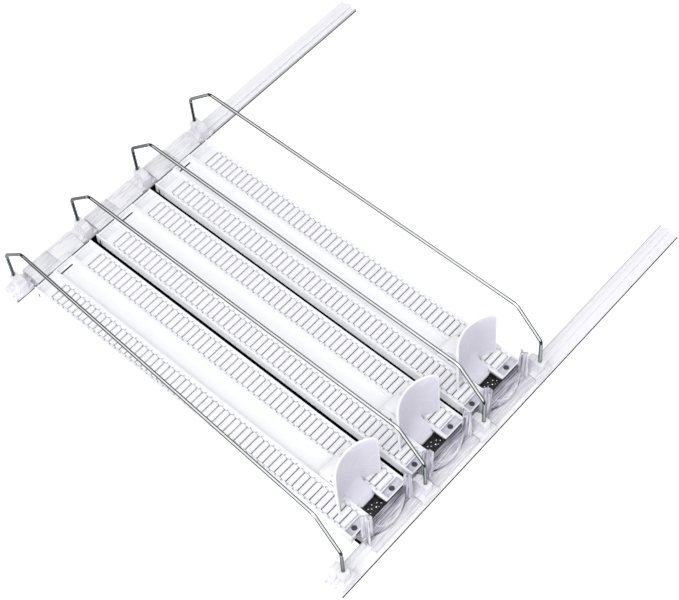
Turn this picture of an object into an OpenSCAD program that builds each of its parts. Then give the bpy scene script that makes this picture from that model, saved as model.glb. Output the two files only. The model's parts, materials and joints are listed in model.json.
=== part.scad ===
// Spring-loaded can organiser for a refrigerator shelf: three roller lanes with pushers,
// clipped between two extruded rails and parted by four wire dividers.
// X runs along the rails, Y from the front of the shelf to its back, Z up.
// The origin is on the shelf, below the middle of the whole organiser.

/* [Rails] */
// Length of each rail
rail_l = 424; // [300:1:600]
// Distance from the front rail's outer edge to the back rail's outer edge
depth = 391; // [300:1:460]
// How far the back rail is set to the right of the front rail
rail_shift = 21; // [0:1:40]
// Width of a rail
rail_w = 18; // [17.5:0.5:22]
// Thickness of a rail's flange
rail_t = 1.8; // [1.2:0.1:2.4]
// Distance from a rail's outer edge to its ridge
ridge_u = 8.5; // [7:0.5:10]
// Width of the ridge's head
ridge_w = 4; // [3:0.5:5]
// Height of the ridge above the shelf
ridge_h = 5.6; // [5:0.1:6.5]
// Thickness of the ridge's head
ridge_head = 1.6; // [1:0.1:2]
// Width of the ridge's neck
ridge_neck = 2; // [1.5:0.1:2.5]
// Height of the lip along a rail's inner edge
rail_lip_h = 3; // [2.5:0.1:3.5]
// Thickness of the lip along a rail's inner edge
rail_lip_t = 1.4; // [1:0.1:2]

/* [Lanes] */
// Distance from the front rail's left end to the first lane's left boundary
left_margin = 33.7; // [30:0.5:60]
// Overall width of a tray
tray_w = 63.5; // [56:0.5:72]
// Gap between two trays
tray_gap = 6.5; // [5:0.1:14]
// Distance from a rail's inner edge to the end of a tray
tray_stand = 5.5; // [5:0.5:10]
// Height of a tray's side walls
tray_h = 10; // [9.6:0.1:12]
// Thickness of a tray's side walls
tray_wall = 1.5; // [1:0.1:2]
// Height of the face between the rollers and the walls
deck_h = 9; // [8.6:0.1:9.4]
// Thickness of the deck
deck_t = 3.5; // [3:0.1:4]
// Height of the floor of the recesses in the front corners
recess_floor = 4.2; // [3.5:0.1:6]

/* [Rollers] */
// Distance from one roller to the next
roller_pitch = 6; // [5.5:0.1:8]
// Diameter of a roller
roller_d = 5.3; // [4:0.1:5.4]
// Gap beside a roller at each end
roller_side_gap = 0.4; // [0.2:0.1:1]
// Diameter of a roller's stub axles
stub_d = 1.6; // [1.2:0.1:1.8]
// Length of a stub axle
stub_l = 1.9; // [1.2:0.1:2.2]
// Depth of the middle of an axle below the deck
stub_depth = 1.7; // [0.8:0.1:1.9]
// Width of the bars that carry the axles
bar_w = 1.8; // [1.4:0.1:2.4]
// Distance from a tray's front end to its first roller
row_front = 12.5; // [12.5:0.5:20]
// Least distance from the last roller to a tray's back end
row_back = 19.5; // [15:0.5:40]

/* [Channel] */
// Width of the slot between the channel's lips
slot_w = 16.8; // [14:0.1:19]
// How far each lip reaches in over the channel
lip_w = 1.1; // [0.8:0.1:1.5]
// Thickness of the channel's walls
channel_wall = 1.1; // [1:0.1:1.2]
// Thickness of the channel's lips
lip_t = 1; // [0.8:0.1:1.2]
// Height of the channel's floor
floor_h = 5.5; // [5:0.1:5.8]
// Thickness of the channel's floor
floor_t = 1.6; // [1.2:0.1:2]

/* [Pusher] */
// Radius of the can that the pusher is shaped for
can_r = 33; // [30:0.5:33]
// Width of the pusher's plate
plate_w = 45; // [40:0.5:50]
// Thickness of the pusher's plate
plate_t = 2.2; // [1.6:0.1:3]
// Height of the top of the pusher's plate
plate_top = 64; // [50:1:70]
// Height of the plate's wings above the tray
wing_gap = 1.6; // [1:0.1:3]
// Angle that the plate leans back
plate_lean = 3.3; // [0:0.1:5]
// Distance from the front rail's outer edge to the plate's side edges
plate_y = 42; // [41:0.5:60]
// Distance that the foot reaches in front of the plate's side edges
foot_reach = 7.5; // [5:0.5:9]
// Running clearance of the pusher in the channel
pusher_gap = 0.2; // [0.1:0.05:0.3]
// Radius of the plate's upper corners
plate_corner = 4; // [2:0.5:8]
// Radius of the foot's front corners
toe_corner = 3; // [1:0.5:5]
// Radius of the sweep from the foot up into the plate
sweep_r = 13; // [8:0.5:16]
// Thickness of the pusher's cheeks
cheek_t = 1.4; // [1:0.1:1.5]

/* [Spring] */
// Thickness of the flanges on the spring's drum
flange_t = 0.7; // [0.5:0.1:1]
// Thickness of the spring strip
strip_t = 0.3; // [0.2:0.05:0.4]
// Outer radius of the coiled spring
coil_r = 9.2; // [7:0.1:9.6]
// Radius of the drum that the spring is coiled on
drum_r = 6; // [4:0.1:7]
// Radius of the pin that carries the drum
pin_r = 1.5; // [1:0.1:2]
// Running clearance of the drum on its pin
drum_gap = 0.05; // [0.02:0.01:0.1]

/* [Front stop] */
// Thickness of the stop's curved wall
stop_t = 1.8; // [1.4:0.1:2.4]
// Height of the stop's wall in the middle
stop_low = 13; // [10:0.5:20]
// Height of the stop's two horns
stop_high = 42; // [34:1:50]
// How far the stop's base reaches past the outer edges of the two horns
stop_shoulder = 1.5; // [0.5:0.1:4]
// Width of a horn
horn_w = 5.5; // [4:0.1:7]
// Depth of the rib that stiffens a horn, outwards from the wall
horn_rib_l = 5; // [3:0.5:6]
// Thickness of the stop's base above the ridge
stop_roof = 1.6; // [1.2:0.1:2.4]
// Thickness of the back connector above the ridge
connector_roof = 3.8; // [2:0.1:6]
// Distance from the front rail's outer edge to the front of the curved wall
stop_u = 8; // [7:0.5:9]
// Thickness of the tongue that reaches under a tray
tongue_t = 1.8; // [1.4:0.1:2.4]
// Distance that a tongue reaches under a tray
tongue_reach = 9; // [6:0.5:12]

/* [Dividers] */
// Diameter of the divider's wire
wire_d = 3; // [2.5:0.1:3.4]
// Height of the wire's middle at its knees
knee_h = 47; // [35:1:60]
// Height of the middle of the wire's top bar
wire_top = 73; // [60:1:95]
// Radius of the wire's bends, to the middle of the wire
bend_r = 8; // [5:0.5:12]
// Angle that a divider leans back from its feet
hoop_lean = 2.8; // [0:0.1:5]
// Distance from a rail's outer edge to the divider's leg
leg_u = 7.5; // [7:0.5:8]
// Height of the bottom of the divider's legs
leg_foot = 8.2; // [7.8:0.1:10]
// How far the first divider's front foot is set to the left
skew_front = 23.1; // [0:0.1:24]
// How far the first divider's back foot is set to the left
skew_back = 2.6; // [0:0.1:2.6]
// Length of a divider clip's base along the rail
clip_w = 17; // [14:0.5:20]
// Gap between a divider clip and the stops beside it
clip_gap = 0.5; // [0.3:0.1:2]
// Width of a divider clip's post
post_w = 7; // [6.5:0.1:9]
// Length of a divider clip's post across the rail
post_l = 14.5; // [12:0.5:15]
// Height of a divider clip's post
post_h = 20; // [16:0.5:26]
// Thickness of a divider clip's base above the ridge
clip_roof = 1.8; // [1.2:0.1:2.4]

/* [Hidden] */

// Clearance between two moulded pieces that sit face to face
seat_gap = 0.1;
// Clearance between the strip and what it lies on
film_gap = 0.1;
// How far a straight stretch of wire reaches into a bend, and how much the wire swells there
bend_lap = 0.2;
bend_swell = 0.02;
eps = 0.01;
$fn = 64;

// Places worked out from the sizes above
lane_pitch = tray_w + tray_gap;
x_left = -(rail_l + rail_shift) / 2;
y_front = -depth / 2;
first_gap_x = x_left + left_margin;
function lane_x(i) = first_gap_x + lane_pitch * (i - 0.5);
function divider_x(i) = first_gap_x + lane_pitch * (i - 1);
tray_inset = rail_w + tray_stand;
tray_l = depth - 2 * tray_inset;
tray_y0 = y_front + tray_inset;
deck_low = deck_h - deck_t;

// Rollers, which fill the windows between the channel and the side walls
channel_w = slot_w + 2 * lip_w;
channel_out = channel_w / 2 + channel_wall;
wall_in = tray_w / 2 - tray_wall;
window_in = channel_out + bar_w;
window_out = wall_in - bar_w;
roller_l = window_out - window_in - 2 * roller_side_gap;
roller_x = (window_in + window_out) / 2;
roller_count = floor((tray_l - row_front - row_back) / roller_pitch + 0.001) + 1;
roller_end_gap = 0.7;
stub_z = deck_h - stub_depth;
notch_w = stub_d + 3 * seat_gap;
notch_low = stub_z - stub_d / 2 - seat_gap;
window_y0 = row_front - roller_d / 2 - roller_end_gap;
window_l = (roller_count - 1) * roller_pitch + roller_d + 2 * roller_end_gap;

// The pusher's plate, whose inner face has the can's radius
plate_half = plate_w / 2;
arc_back = can_r - sqrt(can_r * can_r - plate_half * plate_half);
plate_axis_y = y_front + plate_y + arc_back - can_r;
plate_foot = tray_h + wing_gap;
strip_z = floor_h + film_gap;
coil_z = strip_z + strip_t + film_gap + coil_r;
coil_y = plate_axis_y + can_r + plate_t + coil_r + 2.2;
runner_w = channel_w - 2 * pusher_gap;
neck_w = slot_w - 2 * pusher_gap;
runner_z0 = floor_h + pusher_gap;
runner_z1 = tray_h - lip_t - pusher_gap;
foot_y0 = y_front + plate_y - foot_reach;
runner_y0 = foot_y0 + toe_corner + 0.5;
runner_y1 = coil_y + coil_r + 2.5;
cheek_in = neck_w / 2 - cheek_t;
drum_half = cheek_in - pusher_gap;
strip_w = 2 * (drum_half - flange_t - seat_gap);

// The strip's front end, held by its anchor behind the tray's end wall
anchor_l = 5;
anchor_y = tray_y0 + 2.2;

// The curved wall of the front stop, which has the can's radius too
stop_axis_y = y_front + stop_u + stop_t + can_r;
stop_base_w = lane_pitch - clip_w - 2 * clip_gap;
stop_half = stop_base_w / 2 - stop_shoulder;

// Tongues that reach under both ends of a tray, and the end blocks that they hold
tongue_z = 0.7;
tongue_top = tongue_z + tongue_t;
block_low = tongue_top + seat_gap;
stud_x = roller_x + 1.2;
stud_hole_r = 2.4;
stud_y = 6;

// A closed ring sector in plan, from one angle to another
module sector(r_in, r_out, from, to) {
    reach = r_out * 2;
    intersection() {
        difference() {
            circle(r_out);
            circle(r_in);
        }
        polygon([[0, 0], reach * [cos(from), sin(from)],
                 reach * [cos((from + to) / 2), sin((from + to) / 2)], reach * [cos(to), sin(to)]]);
    }
}

// A profile drawn across the rails, as [y, z], run along X
module run_x(from, length) {
    translate([from, 0, 0]) rotate([90, 0, 90]) linear_extrude(length) children();
}

// A profile drawn along the rails, as [x, z], run along Y
module run_y(from, length) {
    translate([0, from + length, 0]) rotate([90, 0, 0]) linear_extrude(length) children();
}

module block(from, to) {
    translate(from) cube(to - from);
}

// The same shape on both sides of a lane
module both_sides() {
    children();
    mirror([1, 0, 0]) children();
}

// Brings a shape that is drawn on the front rail to the back rail
module at_back() {
    mirror([0, 1, 0]) children();
}

// The space that a rail's ridge takes in a piece that snaps over it
module ridge_slot(gap) {
    neck_x = ridge_u + (ridge_w - ridge_neck) / 2;
    head_low = ridge_h - ridge_head;
    polygon([
        [neck_x - gap, 0], [neck_x - gap, head_low - gap], [ridge_u - gap, head_low - gap],
        [ridge_u - gap, ridge_h + gap], [ridge_u + ridge_w + gap, ridge_h + gap],
        [ridge_u + ridge_w + gap, head_low - gap], [neck_x + ridge_neck + gap, head_low - gap],
        [neck_x + ridge_neck + gap, 0]
    ]);
}

// One extruded rail: a flat flange, a tee-shaped ridge that the clips snap over, and an inner lip
module rail_section() {
    edge = 0.5;
    neck_x = ridge_u + (ridge_w - ridge_neck) / 2;
    head_low = ridge_h - ridge_head;
    polygon([
        [0, 0], [rail_w, 0], [rail_w, rail_lip_h - edge], [rail_w - edge, rail_lip_h],
        [rail_w - rail_lip_t, rail_lip_h], [rail_w - rail_lip_t, rail_t],
        [neck_x + ridge_neck, rail_t], [neck_x + ridge_neck, head_low], [ridge_u + ridge_w, head_low],
        [ridge_u + ridge_w, ridge_h - edge], [ridge_u + ridge_w - edge, ridge_h],
        [ridge_u + edge, ridge_h], [ridge_u, ridge_h - edge], [ridge_u, head_low],
        [neck_x, head_low], [neck_x, rail_t], [edge, rail_t], [0, rail_t - edge]
    ]);
}

module front_rail() {
    color("whitesmoke")
        translate([0, y_front, 0]) run_x(x_left, rail_l) rail_section();
}

module back_rail() {
    color("whitesmoke")
        at_back() translate([0, y_front, 0]) run_x(x_left + rail_shift, rail_l) rail_section();
}

// A bar beside a row of rollers, seen from above, with a notch for each stub axle
module notched_bar(from, to) {
    side = sign(to - from);
    notch_x = from + side * (stub_l - roller_side_gap + seat_gap);
    function roller_y(k) = row_front + k * roller_pitch;
    edge = [for (k = [0 : roller_count - 1]) each [
        [from, roller_y(k) - notch_w / 2], [notch_x, roller_y(k) - notch_w / 2],
        [notch_x, roller_y(k) + notch_w / 2], [from, roller_y(k) + notch_w / 2]
    ]];
    polygon(concat([[to, window_y0], [from, window_y0]], edge,
                   [[from, window_y0 + window_l], [to, window_y0 + window_l]]));
}

// Half of the tray's cross-section: the side wall and the ledge under the outer stub axles
module side_wall_section() {
    polygon([
        [window_out, deck_low], [wall_in, deck_low], [wall_in, 0], [tray_w / 2, 0],
        [tray_w / 2, tray_h], [wall_in, tray_h], [wall_in, notch_low], [window_out, notch_low]
    ]);
}

// The channel that the pusher runs in, with lips that hold it down and a ledge on each side
module channel_section() {
    half = channel_w / 2;
    lip_low = tray_h - lip_t;
    right = [
        [channel_out, floor_h - floor_t], [channel_out, deck_low], [window_in, deck_low],
        [window_in, notch_low], [channel_out, notch_low], [channel_out, tray_h],
        [slot_w / 2, tray_h], [slot_w / 2, lip_low], [half, lip_low], [half, floor_h]
    ];
    left = [for (k = [len(right) - 1 : -1 : 0]) [-right[k][0], right[k][1]]];
    polygon(concat(right, left));
}

// The moulded tray: side walls, roller windows, channel, end blocks with their recesses
module tray() {
    recess_in = channel_out + 1.2;
    recess_out = wall_in - 0.2;
    front_recess = [1.2, window_y0 - 1];
    back_recess = [tray_l - 9.5, tray_l - 1.6];
    back_recess_depth = 2.6;
    bar_top = deck_h - notch_low;
    bite = 0.4;
    rib_count = 7;
    rib_t = 2;
    rib_low = 0.6;
    end_wall = 1.4;
    slot_y = tray_l - 4;
    slot_half = 6.5;
    slot_t = 1.4;
    boss_r = 3.4;
    boss_h = 0.8;
    difference() {
        union() {
            run_y(0, tray_l) channel_section();
            both_sides() {
                run_y(0, tray_l) side_wall_section();
                translate([0, 0, notch_low]) linear_extrude(bar_top) {
                    notched_bar(window_out, wall_in + bite);
                    notched_bar(window_in, channel_out - bite);
                }
                // Closed deck at both ends of the rows
                block([channel_out - bite, 0, block_low], [wall_in + bite, window_y0, deck_h]);
                block([channel_out - bite, window_y0 + window_l, block_low],
                      [wall_in + bite, tray_l, deck_h]);
            }
            // Ribs below, which tie the side walls to the channel
            for (k = [1 : rib_count])
                block([-wall_in - bite, tray_l * k / (rib_count + 1), rib_low],
                      [wall_in + bite, tray_l * k / (rib_count + 1) + rib_t, floor_h - floor_t + eps]);
            // Walls across both ends of the channel
            block([-channel_w / 2 - bite, 0, floor_h - eps],
                  [channel_w / 2 + bite, end_wall, deck_h - end_wall]);
            block([-channel_w / 2 - bite, tray_l - end_wall, floor_h - eps],
                  [channel_w / 2 + bite, tray_l, tray_h]);
        }
        both_sides() {
            block([recess_in, front_recess[0], recess_floor], [recess_out, front_recess[1], tray_h + 1]);
            translate([stud_x, stud_y, 0]) cylinder(r = stud_hole_r, h = tray_h);
            block([recess_in, back_recess[0], deck_h - back_recess_depth],
                  [recess_out, back_recess[1], tray_h + 1]);
        }
        // Slot across the back of the channel's floor
        block([-slot_half, slot_y - slot_t / 2, 0], [slot_half, slot_y + slot_t / 2, floor_h + 1]);
    }
    // Round boss in front of the slot
    translate([0, slot_y - slot_t - boss_r, floor_h - eps]) difference() {
        cylinder(r = boss_r, h = boss_h);
        translate([0, 0, boss_h / 2]) cylinder(r = boss_r - 1, h = boss_h);
    }
}

// One roller with its two stub axles
module roller() {
    edge = 0.3;
    r = roller_d / 2;
    half = roller_l / 2;
    rotate([0, 90, 0]) rotate_extrude($fn = 24)
        polygon([
            [0, -half - stub_l], [stub_d / 2, -half - stub_l], [stub_d / 2, -half], [r - edge, -half],
            [r, -half + edge], [r, half - edge], [r - edge, half], [stub_d / 2, half],
            [stub_d / 2, half + stub_l], [0, half + stub_l]
        ]);
}

// Both rows of rollers of one lane
module rollers() {
    for (side = [-1, 1], k = [0 : roller_count - 1])
        translate([side * roller_x, row_front + k * roller_pitch, stub_z]) roller();
}

// The pusher's plate from the front, as [x, z], with its rounded corners
module plate_outline() {
    half = plate_half + plate_t;
    foot_corner = 2;
    for (side = [-1, 1]) {
        translate([side * (half - plate_corner), plate_top - plate_corner]) circle(plate_corner);
        translate([side * (half - foot_corner), plate_foot + foot_corner]) circle(foot_corner);
    }
    translate([-half, plate_foot + foot_corner])
        square([2 * half, plate_top - plate_corner - plate_foot - foot_corner]);
    translate([-half + plate_corner, plate_foot + foot_corner])
        square([2 * (half - plate_corner), plate_top - plate_foot - foot_corner]);
    translate([-half + foot_corner, plate_foot]) square([2 * (half - foot_corner), 2 * foot_corner]);
    translate([-neck_w / 2, 0]) square([neck_w, plate_top / 2]);
}

// The curved plate with rounded side edges, leaning back
module pusher_plate() {
    half_angle = asin(plate_half / can_r);
    r_mid = can_r + plate_t / 2;
    height = (plate_top - plate_foot) / cos(plate_lean) + 2;
    lean_lift = (can_r - arc_back) * sin(plate_lean);
    intersection() {
        translate([0, plate_axis_y, plate_foot + lean_lift]) rotate([-plate_lean, 0, 0])
            translate([0, 0, -1]) linear_extrude(height) {
                sector(can_r, can_r + plate_t, 90 - half_angle, 90 + half_angle, $fn = 128);
                for (a = [90 - half_angle, 90 + half_angle])
                    translate(r_mid * [cos(a), sin(a)]) circle(plate_t / 2, $fn = 24);
            }
        run_y(plate_axis_y, 2 * can_r) plate_outline();
    }
}

// Profile of the foot, which sweeps up from its rounded toe into the plate
module foot_section() {
    y0 = foot_y0;
    back = plate_axis_y + can_r + plate_t / 2;
    toe_top = tray_h - 0.6;
    heel_top = tray_h + 1.2;
    sweep = [for (a = [0 : 10 : 80])
        [back - 1 - sweep_r * (1 - sin(a)), heel_top + sweep_r * (1 - cos(a))]];
    polygon(concat(
        [[y0, strip_z + strip_t + 0.5], [back, strip_z + strip_t + 0.5], [back, heel_top + sweep_r]],
        [for (k = [len(sweep) - 1 : -1 : 0]) sweep[k]],
        [[y0 + 1.2, toe_top], [y0, toe_top - 1.2]]));
}

// The foot, with its toe rounded at both corners
module foot() {
    intersection() {
        run_x(-neck_w / 2, neck_w) foot_section();
        linear_extrude(plate_top) union() {
            for (side = [-1, 1])
                translate([side * (neck_w / 2 - toe_corner), foot_y0 + toe_corner]) circle(toe_corner);
            translate([-neck_w / 2 + toe_corner, foot_y0]) square([neck_w - 2 * toe_corner, 2 * can_r]);
            translate([-neck_w / 2, foot_y0 + toe_corner]) square([neck_w, 2 * can_r]);
        }
    }
}

// Outline of a cheek, which carries the coil's pin behind the plate
module cheek_section() {
    back = plate_axis_y + can_r + plate_t / 2;
    polygon([
        [back - 1, runner_z1 - eps], [runner_y1, runner_z1 - eps], [runner_y1, coil_z - 2],
        [coil_y + coil_r - 1, coil_z + coil_r - 1], [coil_y - 2, coil_z + coil_r + 3],
        [back + 2.6, coil_z + coil_r + 22], [back + 0.6, coil_z + coil_r + 22]
    ]);
}

module pusher() {
    hood_t = 1.4;
    hood_r = coil_r + 1;
    color("white") difference() {
        union() {
            pusher_plate();
            foot();
            both_sides() {
                run_x(cheek_in, cheek_t) cheek_section();
                // Runner under the channel's lip
                block([cheek_in, runner_y0, runner_z0], [runner_w / 2, runner_y1, runner_z1]);
                block([cheek_in, runner_y0, runner_z1 - eps], [neck_w / 2, runner_y1, tray_h + 0.4]);
            }
            // Hood over the coil
            translate([0, coil_y, coil_z]) run_x(-neck_w / 2, neck_w)
                sector(hood_r, hood_r + hood_t, -10, 130);
        }
        translate([-neck_w, coil_y, coil_z]) rotate([0, 90, 0]) cylinder(r = pin_r, h = 2 * neck_w);
        // Room for the strip, which runs forward below the foot
        block([-cheek_in, foot_y0 - 1, 0], [cheek_in, coil_y, strip_z + strip_t + 0.5]);
    }
}

module coil_pin() {
    color("silver") translate([-neck_w / 2, coil_y, coil_z]) rotate([0, 90, 0])
        cylinder(r = pin_r, h = neck_w);
}

// Drum that turns on the pin, with a thin flange on each side of the coil
module coil_drum() {
    half = drum_half;
    flange = flange_t;
    bore = pin_r + drum_gap;
    color("white") translate([0, coil_y, coil_z]) rotate([0, 90, 0]) rotate_extrude()
        polygon([
            [bore, -half], [drum_r + 1.4, -half], [drum_r + 1.4, -half + flange],
            [drum_r, -half + flange], [drum_r, half - flange], [drum_r + 1.4, half - flange],
            [drum_r + 1.4, half], [bore, half]
        ]);
}

module spring_coil() {
    color("slategray") translate([-strip_w / 2, coil_y, coil_z]) rotate([0, 90, 0]) difference() {
        cylinder(r = coil_r, h = strip_w);
        translate([0, 0, -1]) cylinder(r = drum_r, h = strip_w + 2);
    }
}

module spring_strip() {
    color("slategray")
        block([-strip_w / 2, anchor_y, strip_z], [strip_w / 2, coil_y, strip_z + strip_t]);
}

// Clamp that holds the strip's front end to the channel's floor
module strip_anchor() {
    z0 = strip_z + strip_t + film_gap;
    color("gray") {
        block([-strip_w / 2 - 0.8, anchor_y, z0], [strip_w / 2 + 0.8, anchor_y + anchor_l, z0 + 1]);
        translate([0, anchor_y + anchor_l / 2, z0 + 1 - eps]) cylinder(r1 = 1.6, r2 = 1, h = 0.7);
    }
}

// A saddle over a rail's ridge, as [u, z], from the rail's outer edge inwards
module saddle_section(outer, top) {
    z0 = rail_t + seat_gap;
    chamfer = 1;
    difference() {
        polygon([
            [outer, z0], [rail_w - rail_lip_t - seat_gap, z0],
            [rail_w - rail_lip_t - seat_gap, rail_lip_h + seat_gap],
            [rail_w + 1, rail_lip_h + seat_gap], [rail_w + 1, top - chamfer],
            [rail_w + 1 - chamfer, top], [outer + chamfer, top], [outer, top - chamfer]
        ]);
        ridge_slot(seat_gap);
    }
}

// Outline of the stop's wall from the front, as [x, z]: two round-topped horns with a dip between
module stop_outline() {
    dip_r = stop_half - horn_w;
    crown_r = horn_w / 2 - 0.1;
    difference() {
        union() {
            translate([-stop_half, 0]) square([2 * stop_half, stop_high - crown_r]);
            for (side = [-1, 1])
                translate([side * (stop_half - horn_w / 2), stop_high - crown_r]) circle(crown_r);
        }
        translate([0, stop_low + dip_r]) circle(dip_r);
        translate([-dip_r, stop_low + dip_r]) square([2 * dip_r, stop_high]);
    }
}

// A rib that stiffens a horn, drawn as [distance from the can's axis, z], with a round crown
module horn_rib(base_z) {
    skin = can_r + stop_t - 0.4;
    crown_r = horn_rib_l / 2;
    crown_z = stop_high - crown_r - 0.5;
    rotate([90, 0, 0]) translate([0, 0, -0.8]) linear_extrude(1.6) {
        polygon([
            [skin, base_z], [skin + horn_rib_l + 2, base_z], [skin + horn_rib_l + 0.6, base_z + 8],
            [skin + horn_rib_l - 0.6, crown_z], [skin, crown_z]
        ]);
        translate([skin - 0.3 + crown_r, crown_z]) circle(crown_r - 0.3);
    }
}

module front_stop() {
    saddle_top = ridge_h + stop_roof;
    rib_pitch = 9;
    rib_t = 1;
    wall_z = ridge_h + 2 * seat_gap;
    half = stop_base_w / 2;
    web_y = y_front + rail_w + 0.6;
    web_mid = (web_y + tray_y0) / 2 + rib_t / 4;
    horn_angle = asin((stop_half - horn_w / 2) / (can_r + stop_t));
    color("lavender", 0.5) {
        translate([0, y_front, 0]) run_x(-half, stop_base_w) saddle_section(4, saddle_top);
        // Curved wall between and with the horns
        intersection() {
            translate([0, stop_axis_y, wall_z])
                linear_extrude(stop_high) sector(can_r, can_r + stop_t, 180, 360, $fn = 128);
            run_y(y_front, can_r) stop_outline();
        }
        for (side = [-1, 1])
            translate([0, stop_axis_y, 0]) rotate([0, 0, 270 + side * horn_angle]) horn_rib(wall_z);
        // Web from the rail to the tray, with ribs both ways, and the tongue under the tray
        for (k = [-2 : 2])
            block([k * rib_pitch - rib_t / 2, web_y, tongue_z],
                  [k * rib_pitch + rib_t / 2, tray_y0 - 0.4, saddle_top - 2.6]);
        block([-half, web_y, tongue_z], [half, tray_y0 + tongue_reach, tongue_top]);
        block([-half, web_y, tongue_z], [half, web_y + rib_t, saddle_top - 1]);
        block([-half, web_mid - rib_t / 2, tongue_z], [half, web_mid + rib_t / 2, saddle_top - 2]);
        block([-half, tray_y0 - rib_t - 0.2, tongue_z], [half, tray_y0 - 0.2, saddle_top - 1.6]);
        // Studs that snap into the tray's holes
        both_sides() translate([stud_x, tray_y0 + stud_y, tongue_z])
            cylinder(r = stud_hole_r - seat_gap, h = block_low + 1 - tongue_z);
    }
}

// Clear block over the back rail, in two halves, with a tongue under the tray's back end
module back_connector() {
    top = ridge_h + connector_roof;
    gap = 1.2;
    half = stop_base_w / 2;
    rib_pitch = 9;
    rib_t = 1.2;
    shelf_t = 1.4;
    web_y = y_front + rail_w + 0.6;
    color("lavender", 0.5) {
        both_sides() translate([0, y_front, 0]) run_x(gap / 2, half - gap / 2) saddle_section(1.5, top);
        block([-half, web_y, tongue_z], [half, web_y + rib_t, top - 1.5]);
        block([-half, web_y, tongue_z], [half, tray_y0 + tongue_reach, tongue_top]);
        // Shelf that closes the space between the rail and the tray
        block([-half, web_y, top - 1.5 - shelf_t], [half, tray_y0 - 0.6, top - 1.5]);
        for (k = [-2, -1, 1, 2])
            block([k * rib_pitch - rib_t / 2, web_y, tongue_z],
                  [k * rib_pitch + rib_t / 2, tray_y0 - 0.3, top - 3]);
    }
}

// A straight stretch of wire, which reaches a little way into its bends, with what follows it
module stretch(length) {
    translate([0, 0, -bend_lap]) cylinder(d = wire_d, h = length + 2 * bend_lap, $fn = 32);
    translate([0, 0, length]) children();
}

// A bend of the wire, where it swells a hair, with what follows it in the new direction
module bend(angle) {
    translate([0, bend_r, 0]) {
        rotate([0, 90, 0]) rotate([0, 0, 270 - angle]) rotate_extrude(angle = angle)
            translate([bend_r, 0]) circle(d = wire_d + bend_swell, $fn = 32);
        rotate([-angle, 0, 0]) translate([0, -bend_r, 0]) children();
    }
}

// A divider's hoop: a leg, a shoulder, the top bar, a shoulder and a leg, bent from one wire.
// Both legs lean back by the same angle, and the top bar stays level.
module hoop() {
    rise = wire_top - knee_h;
    function setback(angle) = bend_r * tan(angle / 2);
    knee_1 = 45 - hoop_lean;
    knee_2 = 45 + hoop_lean;
    leg = (knee_h - leg_foot) / cos(hoop_lean);
    shoulder = rise * sqrt(2) - setback(45);
    translate([0, -leg_half(), leg_foot]) rotate([-hoop_lean, 0, 0])
        stretch(leg - setback(knee_1)) bend(knee_1)
            stretch(shoulder - setback(knee_1)) bend(45)
                stretch(2 * (leg_half() - rise - setback(45))) bend(45)
                    stretch(shoulder - setback(knee_2)) bend(knee_2)
                        stretch(leg - setback(knee_2));
}

function leg_half() = depth / 2 - leg_u;
function skew_angle(i) = i == 1 ? atan2(skew_front - skew_back, 2 * leg_half()) : 0;
function front_foot_x(i) = divider_x(i) - (i == 1 ? skew_front : 0);
function back_foot_x(i) = divider_x(i) - (i == 1 ? skew_back : 0);
function foot_y(i) = leg_half() * cos(skew_angle(i));

module divider_wire(i) {
    color("darkgray") translate([(front_foot_x(i) + back_foot_x(i)) / 2, 0, 0])
        rotate([0, 0, -skew_angle(i)]) hoop();
}

// One divider clip on the front rail: base over the ridge, post with the wire's socket, side gussets.
// The socket leans and turns with the wire.
module clip(foot_u, lean, skew) {
    gusset_t = 6;
    base_h = ridge_h + clip_roof;
    post_u0 = foot_u - wire_d / 2 - 1.6;
    post_u1 = post_u0 + post_l;
    gusset_u = post_u1 - gusset_t - 1.5;
    curve = [for (a = [0 : 15 : 90]) [clip_w / 2 - (clip_w - post_w) / 2 * sin(a),
                                      base_h + (post_h - 2 - base_h) * (1 - cos(a))]];
    color("lavender", 0.6) translate([0, y_front, 0]) difference() {
        union() {
            run_x(-clip_w / 2, clip_w) saddle_section(1.5, base_h);
            difference() {
                run_x(-post_w / 2, post_w) polygon([
                    [post_u0, rail_t + 1], [post_u1, rail_lip_h + seat_gap], [post_u1, post_h - 4],
                    [post_u1 - 4, post_h], [post_u0 + 1, post_h], [post_u0, post_h - 1]
                ]);
                run_x(-clip_w, 2 * clip_w) ridge_slot(seat_gap);
            }
            both_sides() run_y(gusset_u, gusset_t)
                polygon(concat([[0, base_h - 1], [clip_w / 2, base_h - 1]], curve, [[0, post_h - 2]]));
        }
        translate([0, foot_u, leg_foot]) rotate([0, 0, -skew]) rotate([-lean, 0, 0])
            translate([0, 0, -bend_lap - seat_gap]) cylinder(d = wire_d + seat_gap, h = post_h);
    }
}

module front_clip(i) {
    translate([front_foot_x(i), 0, 0]) clip(-foot_y(i) - y_front, hoop_lean, skew_angle(i));
}

module back_clip(i) {
    translate([back_foot_x(i), 0, 0]) at_back() clip(-foot_y(i) - y_front, -hoop_lean, -skew_angle(i));
}

module on_lane(i) {
    translate([lane_x(i), 0, 0]) children();
}

module lane_tray(i) {
    color("white") on_lane(i) translate([0, tray_y0, 0]) tray();
}

module lane_rollers(i) {
    color("white") on_lane(i) translate([0, tray_y0, 0]) rollers();
}

module lane_back_connector(i) {
    on_lane(i) at_back() back_connector();
}

front_rail();
back_rail();
for (i = [1 : 3]) {
    lane_tray(i);
    lane_rollers(i);
    on_lane(i) pusher();
    on_lane(i) coil_pin();
    on_lane(i) coil_drum();
    on_lane(i) spring_coil();
    on_lane(i) spring_strip();
    on_lane(i) strip_anchor();
    on_lane(i) front_stop();
    lane_back_connector(i);
}
for (i = [1 : 4]) {
    divider_wire(i);
    front_clip(i);
    back_clip(i);
}
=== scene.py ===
"""A shelf organiser for drink cans: three roller lanes with sprung pushers, clipped between two clear
rails and parted by wire dividers. Lengths are in metres, and sizes written in millimetres times MM."""

import json
import math

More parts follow.
